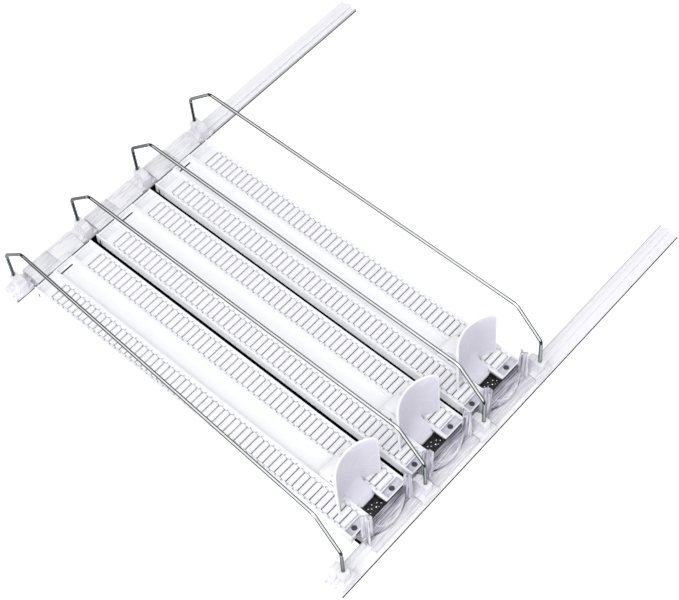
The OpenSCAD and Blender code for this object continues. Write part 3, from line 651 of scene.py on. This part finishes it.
for i in LANES:
    lane_x = sum(corner.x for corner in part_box(f"tray_{i}")) / 2
    coil_low, coil_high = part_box(f"spring_coil_{i}")
    coil_y, coil_z = (coil_low.y + coil_high.y) / 2, (coil_low.z + coil_high.z) / 2
    pusher_low, pusher_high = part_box(f"pusher_{i}")
    toe_y = pusher_low.y
    runner_back = pusher_high.y
    axis_y = coil_y - COIL_R - COIL_GAP - PLATE_T - CAN_R

    # Plate and foot
    columns = plate_columns()
    shape = bmesh.new()
    rings = [[shape.verts.new((x + lane_x, y + axis_y, z))
              for x, y, z in plate_loop(*column, toe_front=toe_y - axis_y)] for column in columns]
    count = len(rings[0])
    for k, (left, right) in enumerate(zip(rings, rings[1:])):
        on_side = min(columns[k][2], columns[k + 1][2]) < 1
        for j in range(count):
            face = shape.faces.new((left[j], right[j], right[(j + 1) % count], left[(j + 1) % count]))
            face.material_index = 1 if on_side or j in (0, 1, 2, 3) or j == count - 1 else 0
    bmesh.ops.remove_doubles(shape, verts=shape.verts, dist=0.004 * MM)
    bmesh.ops.recalc_face_normals(shape, faces=shape.faces)
    plate = in_scene(f"pusher_moulding_{i}", mesh_of("pusher plate", shape))
    for material in (shaded_plate_abs, lit_white_abs):
        plate.data.materials.append(material)
    plate.data.shade_smooth()
    plate.data.set_sharp_from_angle(angle=math.radians(50))

    # Cheeks, runners and the hood over the coil
    shape = bmesh.new()
    plate_back = axis_y + CAN_R + PLATE_T / 2
    coil_top = coil_z + COIL_R
    cheek = [(plate_back - 1 * MM, RUNNER_TOP), (runner_back, RUNNER_TOP), (runner_back, coil_z - 2 * MM),
             (coil_y + COIL_R - 1 * MM, coil_top - 1 * MM), (coil_y - 2 * MM, coil_top + 3 * MM),
             (plate_back + 2.6 * MM, coil_top + CHEEK_RISE), (plate_back + 0.6 * MM, coil_top + CHEEK_RISE)]
    runner = box_outline(toe_y + TOE_CORNER + 0.5 * MM, RUNNER_LOW, runner_back, RUNNER_TOP)
    neck = box_outline(toe_y + TOE_CORNER + 0.5 * MM, RUNNER_TOP - 0.1 * MM, runner_back, NECK_TOP)
    for side in (-1, 1):
        for outline, reach in ((cheek, FOOT_HALF), (runner, RUNNER_OUT), (neck, FOOT_HALF)):
            slab(shape, outline, "x",
                 *sorted((lane_x + side * (FOOT_HALF - CHEEK_T), lane_x + side * reach)))
    hood = [(coil_y + r * math.cos(math.radians(turn)), coil_z + r * math.sin(math.radians(turn)))
            for r, turns in ((HOOD_R, range(-10, 131, 10)), (HOOD_R + HOOD_T, range(130, -11, -10)))
            for turn in turns]
    slab(shape, hood, "x", lane_x - FOOT_HALF, lane_x + FOOT_HALF)
    carriage = rounded("carriage", mesh_of("carriage", shape), lit_white_abs, 0.3 * MM)
    merged(plate, carriage)
    stands_for(plate, "pusher_moulding", f"pusher_{i}")
    finish_node(f"coil_drum_{i}", lit_white_abs)

# The front stops, back connectors and divider clips: clear polycarbonate, injection moulded. Each
# snaps over a rail's ridge. A stop's two horns hold the front can, a connector holds a tray's back
# end, and a clip's post takes one foot of a wire.

BROKEN_EDGE = 0.25 * MM
SHADE_LINE_TO = 174.1 * MM


def clear_plastic(name, wall, shade_line=0.0):
    """Clear moulded plastic, which looks nearly white over the table. Upright walls and corners are painted
    in the wall's tone as shade, with lavender streaks about 1.5 mm wide, and flow marks catch the light.
    shade_line is how dark the painted shade line beside the tray's end is."""
    material, t = new_material(name)
    place, where, off_middle = place_in(t)
    facing = add(t, "ShaderNodeSeparateXYZ", {0: place["Normal"]})
    level = add(t, "ShaderNodeMath", {0: facing.outputs["Z"]}, operation="ABSOLUTE")
    upright = add(t, "ShaderNodeMapRange", {"Value": level.outputs[0], "From Min": 0.75, "From Max": 0.25})
    nook = add(t, "ShaderNodeAmbientOcclusion", {"Distance": 1.5 * MM}, samples=8)
    corner = add(t, "ShaderNodeMapRange", {"Value": nook.outputs["AO"], "From Min": 0.7, "From Max": 0.3})
    painted_shade_mask = add(t, "ShaderNodeMath", {0: upright.outputs["Result"], 1: corner.outputs["Result"]},
               operation="MAXIMUM")
    tint = add(t, "ShaderNodeMix", {0: painted_shade_mask.outputs[0], 6: linear("#FCFCFE"), 7: linear(wall)},
               data_type="RGBA")
    fine = add(t, "ShaderNodeMapping", {"Vector": place["Object"], "Scale": (90, 700, 300)})
    streaks = add(t, "ShaderNodeTexNoise", {"Vector": fine.outputs[0], "Scale": 1.0, "Detail": 2.0})
    streak = add(t, "ShaderNodeMapRange", {"Value": streaks.outputs["Fac"], "From Min": 0.5,
                                           "From Max": 0.65, "To Max": 0.7})
    tint = add(t, "ShaderNodeMix", {0: streak.outputs["Result"], 6: tint.outputs[2], 7: linear("#DBD9E5")},
               data_type="RGBA")
    beside = add(t, "ShaderNodeMapRange", {"Value": off_middle, "From Min": SHADE_LINE_TO,
                                           "From Max": SHADE_LINE_TO - 0.2 * MM, "To Max": shade_line})
    tint = add(t, "ShaderNodeMix", {0: beside.outputs["Result"], 6: tint.outputs[2], 7: linear("#232228")},
               data_type="RGBA")
    flow = add(t, "ShaderNodeTexNoise", {"Vector": place["Object"], "Scale": 160.0, "Detail": 3.0})
    relief = add(t, "ShaderNodeBump", {"Height": flow.outputs["Fac"], "Strength": 0.5,
                                       "Distance": 0.25 * MM})
    body = add(t, "ShaderNodeBsdfPrincipled",
               {"Base Color": tint.outputs[2], "Roughness": 0.15, "IOR": 1.49, "Transmission Weight": 0.1,
                "Normal": relief.outputs[0]})
    add(t, "ShaderNodeOutputMaterial", {"Surface": body.outputs[0]})
    return material


clip_pc = clear_plastic("pale moulded polycarbonate", "#F1EFF6")
# The same plastic, with a painted dark shade line where it meets the tray's end
connector_pc = clear_plastic("pale polycarbonate with a seam", "#F4F3F8", shade_line=0.9)

SADDLE_LINE = 184 * MM
LIP_EDGE = 7.9 * MM

base_pc, t = new_material("clear polycarbonate, ribbed base")
# The stop's base is a lattice of thin ribs. Its colour holds painted light and shade: a grey lavender
# zone of fine light and dark streaks along the rail, about 1 mm wide, which end in pale ones over the
# ridge, and the top of the lip, painted nearly black as the shade in front of the tray's end.
place = add(t, "ShaderNodeTexCoord")
where = add(t, "ShaderNodeSeparateXYZ", {0: place.outputs["Object"]}).outputs
fine = add(t, "ShaderNodeMapping", {"Vector": place.outputs["Object"], "Scale": (70, 1300, 900)})
streaks = add(t, "ShaderNodeTexNoise", {"Vector": fine.outputs[0], "Scale": 1.0, "Detail": 3.0,
                                        "Distortion": 0.6})
streak = add(t, "ShaderNodeMapRange", {"Value": streaks.outputs["Fac"], "From Min": 0.42, "From Max": 0.62})
painted_shade_zone = add(t, "ShaderNodeMapRange", {"Value": where["Y"], "From Min": -SADDLE_LINE - 1.5 * MM,
                                     "From Max": -SADDLE_LINE + 1.5 * MM})
edge = add(t, "ShaderNodeMapRange", {"Value": where["Z"], "From Min": LIP_EDGE,
                                     "From Max": LIP_EDGE + 0.1 * MM})
shaded_streaks = add(t, "ShaderNodeMix", {0: streak.outputs["Result"], 6: linear("#9F9CAC"), 7: linear("#F5F3FA")},
           data_type="RGBA")
pale = add(t, "ShaderNodeMix", {0: streak.outputs["Result"], 6: linear("#DDDBE6"), 7: linear("#FFFFFF")},
           data_type="RGBA")
tint = add(t, "ShaderNodeMix", {0: painted_shade_zone.outputs["Result"], 6: pale.outputs[2], 7: shaded_streaks.outputs[2]},
           data_type="RGBA")
tint = add(t, "ShaderNodeMix", {0: edge.outputs["Result"], 6: tint.outputs[2], 7: linear("#1B1A20")},
           data_type="RGBA")
relief = add(t, "ShaderNodeBump", {"Height": streaks.outputs["Fac"], "Strength": 0.6, "Distance": 0.3 * MM})
body = add(t, "ShaderNodeBsdfPrincipled",
           {"Base Color": tint.outputs[2], "Roughness": 0.05, "IOR": 1.49, "Transmission Weight": 0.15,
            "Normal": relief.outputs[0]})
add(t, "ShaderNodeOutputMaterial", {"Surface": body.outputs[0]})

wall_pc, t = new_material("clear polycarbonate, polished wall")
# The curved wall is thin and polished: nearly invisible, with white light in its narrow upper rim.
place = add(t, "ShaderNodeTexCoord")
facing = add(t, "ShaderNodeSeparateXYZ", {0: place.outputs["Normal"]})
rim = add(t, "ShaderNodeMapRange", {"Value": facing.outputs["Z"], "From Min": 0.3, "From Max": 0.6})
clear = add(t, "ShaderNodeMapRange", {"Value": rim.outputs["Result"], "To Min": 0.97, "To Max": 0.5})
body = add(t, "ShaderNodeBsdfPrincipled",
           {"Base Color": linear("#FCFBFE"), "Roughness": 0.0, "IOR": 1.02,
            "Transmission Weight": clear.outputs["Result"]})
add(t, "ShaderNodeOutputMaterial", {"Surface": body.outputs[0]})

horn_pc, t = new_material("clear polycarbonate, ribbed horn")
# The horns are thicker, with a rib behind: light lavender, with white and grey painted streaks of light
# and shade up their length.
place = add(t, "ShaderNodeTexCoord")
fine = add(t, "ShaderNodeMapping", {"Vector": place.outputs["Object"], "Scale": (700, 700, 35)})
streaks = add(t, "ShaderNodeTexNoise", {"Vector": fine.outputs[0], "Scale": 1.0, "Detail": 2.0,
                                        "Distortion": 0.4})
tint = add(t, "ShaderNodeValToRGB", {0: streaks.outputs["Fac"]})
tint.color_ramp.elements[0].color = linear("#8D8A9C")
tint.color_ramp.elements[0].position = 0.33
tint.color_ramp.elements[1].color = linear("#FFFFFF")
tint.color_ramp.elements[1].position = 0.62
tint.color_ramp.elements.new(0.42).color = linear("#CBC9D7")
tint.color_ramp.elements.new(0.54).color = linear("#E3E1EB")
relief = add(t, "ShaderNodeBump", {"Height": streaks.outputs["Fac"], "Strength": 0.5, "Distance": 0.3 * MM})
body = add(t, "ShaderNodeBsdfPrincipled",
           {"Base Color": tint.outputs[0], "Roughness": 0.05, "IOR": 1.49, "Transmission Weight": 0.25,
            "Normal": relief.outputs[0]})
add(t, "ShaderNodeOutputMaterial", {"Surface": body.outputs[0]})

shaded_stud_pc, t = new_material("polycarbonate stud in its hole")
# The stud's end sits deep in the tray's hole, and its colour is painted dark as shade.
place = add(t, "ShaderNodeTexCoord")
cloud = add(t, "ShaderNodeTexNoise", {"Vector": place.outputs["Object"], "Scale": 500.0})
tint = add(t, "ShaderNodeMix", {0: cloud.outputs["Fac"], 6: linear("#26262C"), 7: linear("#5A5963")},
           data_type="RGBA")
body = add(t, "ShaderNodeBsdfPrincipled", {"Base Color": tint.outputs[2], "Roughness": 0.3, "IOR": 1.49})
add(t, "ShaderNodeOutputMaterial", {"Surface": body.outputs[0]})


def tidy_copy(name):
    """A copy of a CAD node's mesh without the edges that cross its flat faces, and without its stored
    normals, which no longer fit."""
    shape = bmesh.new()
    shape.from_mesh(nodes[name].data)
    bmesh.ops.remove_doubles(shape, verts=shape.verts, dist=0.002 * MM)
    bmesh.ops.dissolve_limit(shape, angle_limit=math.radians(1), verts=shape.verts, edges=shape.edges)
    mesh = mesh_of(name, shape)
    if mesh.has_custom_normals:
        mesh.attributes.remove(mesh.attributes["custom_normal"])
    return mesh


def softened(name, material, slot, like=None):
    """Takes the place of a CAD node with a copy whose edges are broken. The copy is made from the
    node itself, or from the node like, which has the same shape in another place."""
    thing = rounded(f"{name}_moulding", tidy_copy(like or name), material, BROKEN_EDGE)
    thing.data.set_sharp_from_angle(angle=math.radians(20))
    if like:
        thing.data.transform(Matrix.Translation(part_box(name)[0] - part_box(like)[0]))
    stands_for(thing, slot, name)
    return thing


SADDLE_TOP = 7.3 * MM
HORN_FROM = 19 * MM
STUD_LOW = 3.2 * MM
RIB_COUNT = 4
RIB_FROM, RIB_PITCH, RIB_T = -176.2 * MM, 1.05 * MM, 0.4 * MM
RIB_LOW, RIB_TOP, RIB_INSET = 2.4 * MM, 6.3 * MM, 0.5 * MM
LIP_LOW, LIP_TOP, LIP_T, LIP_GAP = 5 * MM, 9.2 * MM, 0.5 * MM, 0.2 * MM
HALVES_GAP = 1.2 * MM

for i in LANES:
    stop = softened(f"front_stop_{i}", base_pc, "clear_moulding")
    tray_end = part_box(f"tray_{i}")[0].y
    stop_low, stop_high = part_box(f"front_stop_{i}")
    middle_x = (stop_low.x + stop_high.x) / 2
    for material in (wall_pc, horn_pc, shaded_stud_pc):
        stop.data.materials.append(material)
    for face in stop.data.polygons:
        if face.center.z > SADDLE_TOP:
            face.material_index = 2 if abs(face.center.x - middle_x) > HORN_FROM else 1
        elif face.center.y > tray_end + 1 * MM and face.center.z > STUD_LOW and face.normal.z > 0.5:
            face.material_index = 3

    # Fine ribs in the base, and the lip that stands against the tray's end, whose top is painted dark as
    # shade
    shape = bmesh.new()
    for k in range(RIB_COUNT):
        slab(shape, box_outline(stop_low.x + RIB_INSET, RIB_LOW, stop_high.x - RIB_INSET, RIB_TOP), "y",
             RIB_FROM + RIB_PITCH * k, RIB_FROM + RIB_PITCH * k + RIB_T)
    slab(shape, box_outline(stop_low.x, LIP_LOW, stop_high.x, LIP_TOP), "y",
         tray_end - LIP_GAP - LIP_T, tray_end - LIP_GAP)
    ribs = rounded("base ribs", mesh_of("base ribs", shape), None, 0.08 * MM)
    merged(stop, ribs)

    # The connector's two halves nearly touch
    connector = softened(f"back_connector_{i}", connector_pc, "clear_moulding")
    for vertex in connector.data.vertices:
        if abs(vertex.co.x - middle_x) < HALVES_GAP:
            vertex.co.x = middle_x + (vertex.co.x - middle_x) * 0.2
for i in DIVIDERS:
    for end in ("front", "back"):
        softened(f"{end}_clip_{i}", clip_pc, "clip_plastic", like=f"{end}_clip_2" if i > 2 else None)

# The dividers: one steel wire each, bent at four places and pushed into a clip at both ends. The
# first one stands askew, with its front foot set to the left.

WIRE_R = 1.5 * MM
LEG_HALF = 188 * MM
LEG_FOOT = 8.2 * MM
KNEE_H = 47 * MM
WIRE_TOP = 73 * MM
BEND_R = 8 * MM
LEAN = math.radians(2.8)
PAINTED_REFLECTION_BANDS = ((0.115, "#EDEFEF"), (0.165, "#161A1B"), (0.34, "#252B2C"), (0.38, "#9BA3A3"),
              (0.46, "#8B9292"), (0.52, "#1C2122"))

plated_steel, t = new_material("bright nickel plated steel")
# Drawn wire, polished and plated. Its colour holds a painted reflection: a white streak along its
# middle, dark towards its sides, with a dim second streak beside the edge. Its faint grain is about 1 mm.
place = add(t, "ShaderNodeTexCoord")
away = add(t, "ShaderNodeLayerWeight", {"Blend": 0.4})
tint = add(t, "ShaderNodeValToRGB", {0: away.outputs["Facing"]})
for at, colour in PAINTED_REFLECTION_BANDS:
    tint.color_ramp.elements.new(at).color = linear(colour)
tint.color_ramp.elements.remove(tint.color_ramp.elements[0])
tint.color_ramp.elements.remove(tint.color_ramp.elements[-1])
draw = add(t, "ShaderNodeTexNoise", {"Vector": place.outputs["Object"], "Scale": 900.0, "Detail": 2.0})
relief = add(t, "ShaderNodeBump", {"Height": draw.outputs["Fac"], "Strength": 0.1, "Distance": 0.02 * MM})
body = add(t, "ShaderNodeBsdfPrincipled",
           {"Base Color": tint.outputs[0], "Roughness": 0.22, "Metallic": 1.0, "Normal": relief.outputs[0]})
add(t, "ShaderNodeOutputMaterial", {"Surface": body.outputs[0]})

bent_wire, given = shape_tree("bent wire", {"Radius": "Float", "Bend": "Float"})
course = add(bent_wire, "GeometryNodeMeshToCurve", {0: given["Geometry"]})
bends = add(bent_wire, "GeometryNodeFilletCurve",
            {"Curve": course.outputs[0], "Radius": given["Bend"], "Count": 16}, mode="POLY")
ring = add(bent_wire, "GeometryNodeCurvePrimitiveCircle", {"Resolution": 20, "Radius": given["Radius"]})
swept = add(bent_wire, "GeometryNodeCurveToMesh",
            {"Curve": bends.outputs[0], "Profile Curve": ring.outputs[0], "Fill Caps": True})
finish_tree(bent_wire, swept.outputs[0], plated_steel)

for i in DIVIDERS:
    front_x, back_x = (sum(corner.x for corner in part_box(f"{end}_clip_{i}")) / 2
                       for end in ("front", "back"))
    rise = WIRE_TOP - KNEE_H
    back_set = (KNEE_H - LEG_FOOT) * math.tan(LEAN)
    corners = [(-LEG_HALF, LEG_FOOT), (back_set - LEG_HALF, KNEE_H), (back_set - LEG_HALF + rise, WIRE_TOP),
               (back_set + LEG_HALF - rise, WIRE_TOP), (back_set + LEG_HALF, KNEE_H), (LEG_HALF, LEG_FOOT)]
    skew = Matrix.Rotation(-math.asin((back_x - front_x) / (2 * LEG_HALF)), 4, "Z")
    middle = Vector(((front_x + back_x) / 2, 0, 0))
    course_mesh = bpy.data.meshes.new("wire course")
    course_mesh.from_pydata([middle + skew @ Vector((0, y, z)) for y, z in corners],
                            [(k, k + 1) for k in range(len(corners) - 1)], [])
    wire = grown(f"bent_wire_{i}", course_mesh, bent_wire, {"Radius": WIRE_R, "Bend": BEND_R})
    stands_for(wire, "wire_steel", f"divider_wire_{i}")

# The springs: a thin steel strip coiled on each pusher's drum, which pulls the pusher to the front.
# The strip lies on the channel's floor, and its front end is held by a blackened clamp plate.

STRIP_T = 0.3 * MM
DRUM_R = 6 * MM
STRIP_PARTS = 40
SPRING_TURNS = 8.0
CLAMP_T = 0.3 * MM
CLAMP_HALF = 9.1 * MM
CLAMP_FOLD = 2.2 * MM
# Each spot's place across and along the clamp and its radius, in millimetres
SPOTS = ((-5.6, 1.6, 0.7), (-2.2, 3.4, 0.6), (1.4, 1.9, 0.9), (4.4, 3.9, 0.6), (-4.2, 5.2, 0.6),
         (6.4, 1.4, 0.6), (0.4, 5.6, 0.6), (3.0, 0.4, 0.5))

spring_steel, t = new_material("blue tempered spring steel")
# Rolled strip, tempered to a dark blue grey, with lines along its length about 0.7 mm apart.
place = add(t, "ShaderNodeTexCoord")
lines = add(t, "ShaderNodeMapping", {"Vector": place.outputs["Object"], "Scale": (1500, 12, 12)})
rolled = add(t, "ShaderNodeTexNoise", {"Vector": lines.outputs[0], "Scale": 1.0, "Detail": 2.0})
tint = add(t, "ShaderNodeMix", {0: rolled.outputs["Fac"], 6: linear("#4A5058"), 7: linear("#79808A")},
           data_type="RGBA")
body = add(t, "ShaderNodeBsdfPrincipled",
           {"Base Color": tint.outputs[2], "Roughness": 0.3, "Metallic": 1.0})
add(t, "ShaderNodeOutputMaterial", {"Surface": body.outputs[0]})

clamp_steel, t = new_material("blackened steel")
# Pressed plate, oil blackened: nearly black, with worn patches about 1.5 mm wide. Its black also
# stands for the shade in front of the pusher's foot.
place = add(t, "ShaderNodeTexCoord")
wear = add(t, "ShaderNodeTexNoise", {"Vector": place.outputs["Object"], "Scale": 700.0, "Detail": 3.0})
worn = add(t, "ShaderNodeMapRange", {"Value": wear.outputs["Fac"], "From Min": 0.55, "From Max": 0.7})
tint = add(t, "ShaderNodeMix", {0: worn.outputs["Result"], 6: linear("#141316"), 7: linear("#4B474F")},
           data_type="RGBA")
body = add(t, "ShaderNodeBsdfPrincipled",
           {"Base Color": tint.outputs[2], "Roughness": 0.3, "Metallic": 0.4})
add(t, "ShaderNodeOutputMaterial", {"Surface": body.outputs[0]})

spiral, given = shape_tree("wound strip", {"Inner": "Float", "Outer": "Float", "Turns": "Float",
                                           "Thickness": "Float", "Width": "Float", "Middle": "Vector"})
course = add(spiral, "GeometryNodeCurveSpiral",
             {"Resolution": 40, "Rotations": given["Turns"], "Start Radius": given["Inner"],
              "End Radius": given["Outer"], "Height": 0.0})
section = add(spiral, "GeometryNodeCurvePrimitiveQuadrilateral",
              {"Width": given["Thickness"], "Height": given["Width"]})
ribbon = add(spiral, "GeometryNodeCurveToMesh",
             {"Curve": course.outputs[0], "Profile Curve": section.outputs[0], "Fill Caps": True})
stood = add(spiral, "GeometryNodeTransform",
            {"Geometry": ribbon.outputs[0], "Translation": given["Middle"],
             "Rotation": (0, math.pi / 2, 0)})
finish_tree(spiral, stood.outputs[0], spring_steel)

for i in LANES:
    coil_low, coil_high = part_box(f"spring_coil_{i}")
    strip_low, strip_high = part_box(f"spring_strip_{i}")
    pin_low, pin_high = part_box(f"coil_pin_{i}")
    lane_x = (coil_low.x + coil_high.x) / 2
    middle = (coil_low + coil_high) / 2

    # The pin, with its ends broken
    shape = bmesh.new()
    left, right = pin_low.x - middle.x, pin_high.x - middle.x
    turned(shape, [(left, PIN_R - PIN_EDGE), (left + PIN_EDGE, PIN_R), (right - PIN_EDGE, PIN_R),
                   (right, PIN_R - PIN_EDGE)], 32)
    bmesh.ops.translate(shape, vec=middle, verts=shape.verts)
    pin = rounded(f"turned_pin_{i}", mesh_of("pin", shape), plated_steel, 0.05 * MM)
    stands_for(pin, "pin_steel", f"coil_pin_{i}")

    coil = grown(f"wound_spring_{i}", bpy.data.meshes.new("no mesh"), spiral,
                 {"Inner": DRUM_R + STRIP_T, "Outer": COIL_R - STRIP_T, "Turns": SPRING_TURNS,
                  "Thickness": STRIP_T, "Width": coil_high.x - coil_low.x, "Middle": middle})
    stands_for(coil, "spring_steel", f"spring_coil_{i}")

    # The straight strip, in short parts
    shape = bmesh.new()
    length = strip_high.y - strip_low.y
    rings = [[shape.verts.new((x, strip_low.y + length * k / STRIP_PARTS, z))
              for x, z in box_outline(strip_low.x, strip_low.z, strip_high.x, strip_high.z)]
             for k in range(STRIP_PARTS + 1)]
    for front, back in zip(rings, rings[1:]):
        for k in range(4):
            shape.faces.new((front[k], front[(k + 1) % 4], back[(k + 1) % 4], back[k]))
    shape.faces.new(rings[0][::-1])
    shape.faces.new(rings[-1])
    bmesh.ops.recalc_face_normals(shape, faces=shape.faces)
    strip = in_scene(f"drawn_strip_{i}", mesh_of("strip", shape))
    strip.data.materials.append(spring_steel)
    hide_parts(f"spring_strip_{i}")
    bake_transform(strip)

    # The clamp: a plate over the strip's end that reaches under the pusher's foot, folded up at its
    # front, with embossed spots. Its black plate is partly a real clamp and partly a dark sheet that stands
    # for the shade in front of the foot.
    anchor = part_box(f"strip_anchor_{i}")[0]
    toe_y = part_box(f"pusher_{i}")[0].y
    shape = bmesh.new()
    for rise, front, back in ((CLAMP_T, anchor.y - 0.6 * MM, toe_y + 1 * MM),
                              (CLAMP_FOLD, anchor.y - 2.3 * MM, anchor.y - 0.5 * MM)):
        slab(shape, box_outline(lane_x - CLAMP_HALF, anchor.z, lane_x + CLAMP_HALF, anchor.z + rise), "y",
             front, back)
    clamp = rounded(f"clamp_plate_{i}", mesh_of("clamp", shape), clamp_steel, 0.15 * MM)
    shape = bmesh.new()
    for across, along, size in SPOTS:
        cap = bmesh.ops.create_uvsphere(shape, u_segments=16, v_segments=8, radius=size * MM)
        bmesh.ops.scale(shape, vec=(1, 1, 0.5), verts=cap["verts"])
        bmesh.ops.translate(shape, vec=(lane_x + across * MM, anchor.y + along * MM, anchor.z + CLAMP_T),
                            verts=cap["verts"])
    spots = in_scene("embossed spots", mesh_of("spots", shape))
    spots.data.materials.append(plated_steel)
    spots.data.shade_smooth()
    merged(clamp, spots)
    stands_for(clamp, "anchor_steel", f"strip_anchor_{i}")
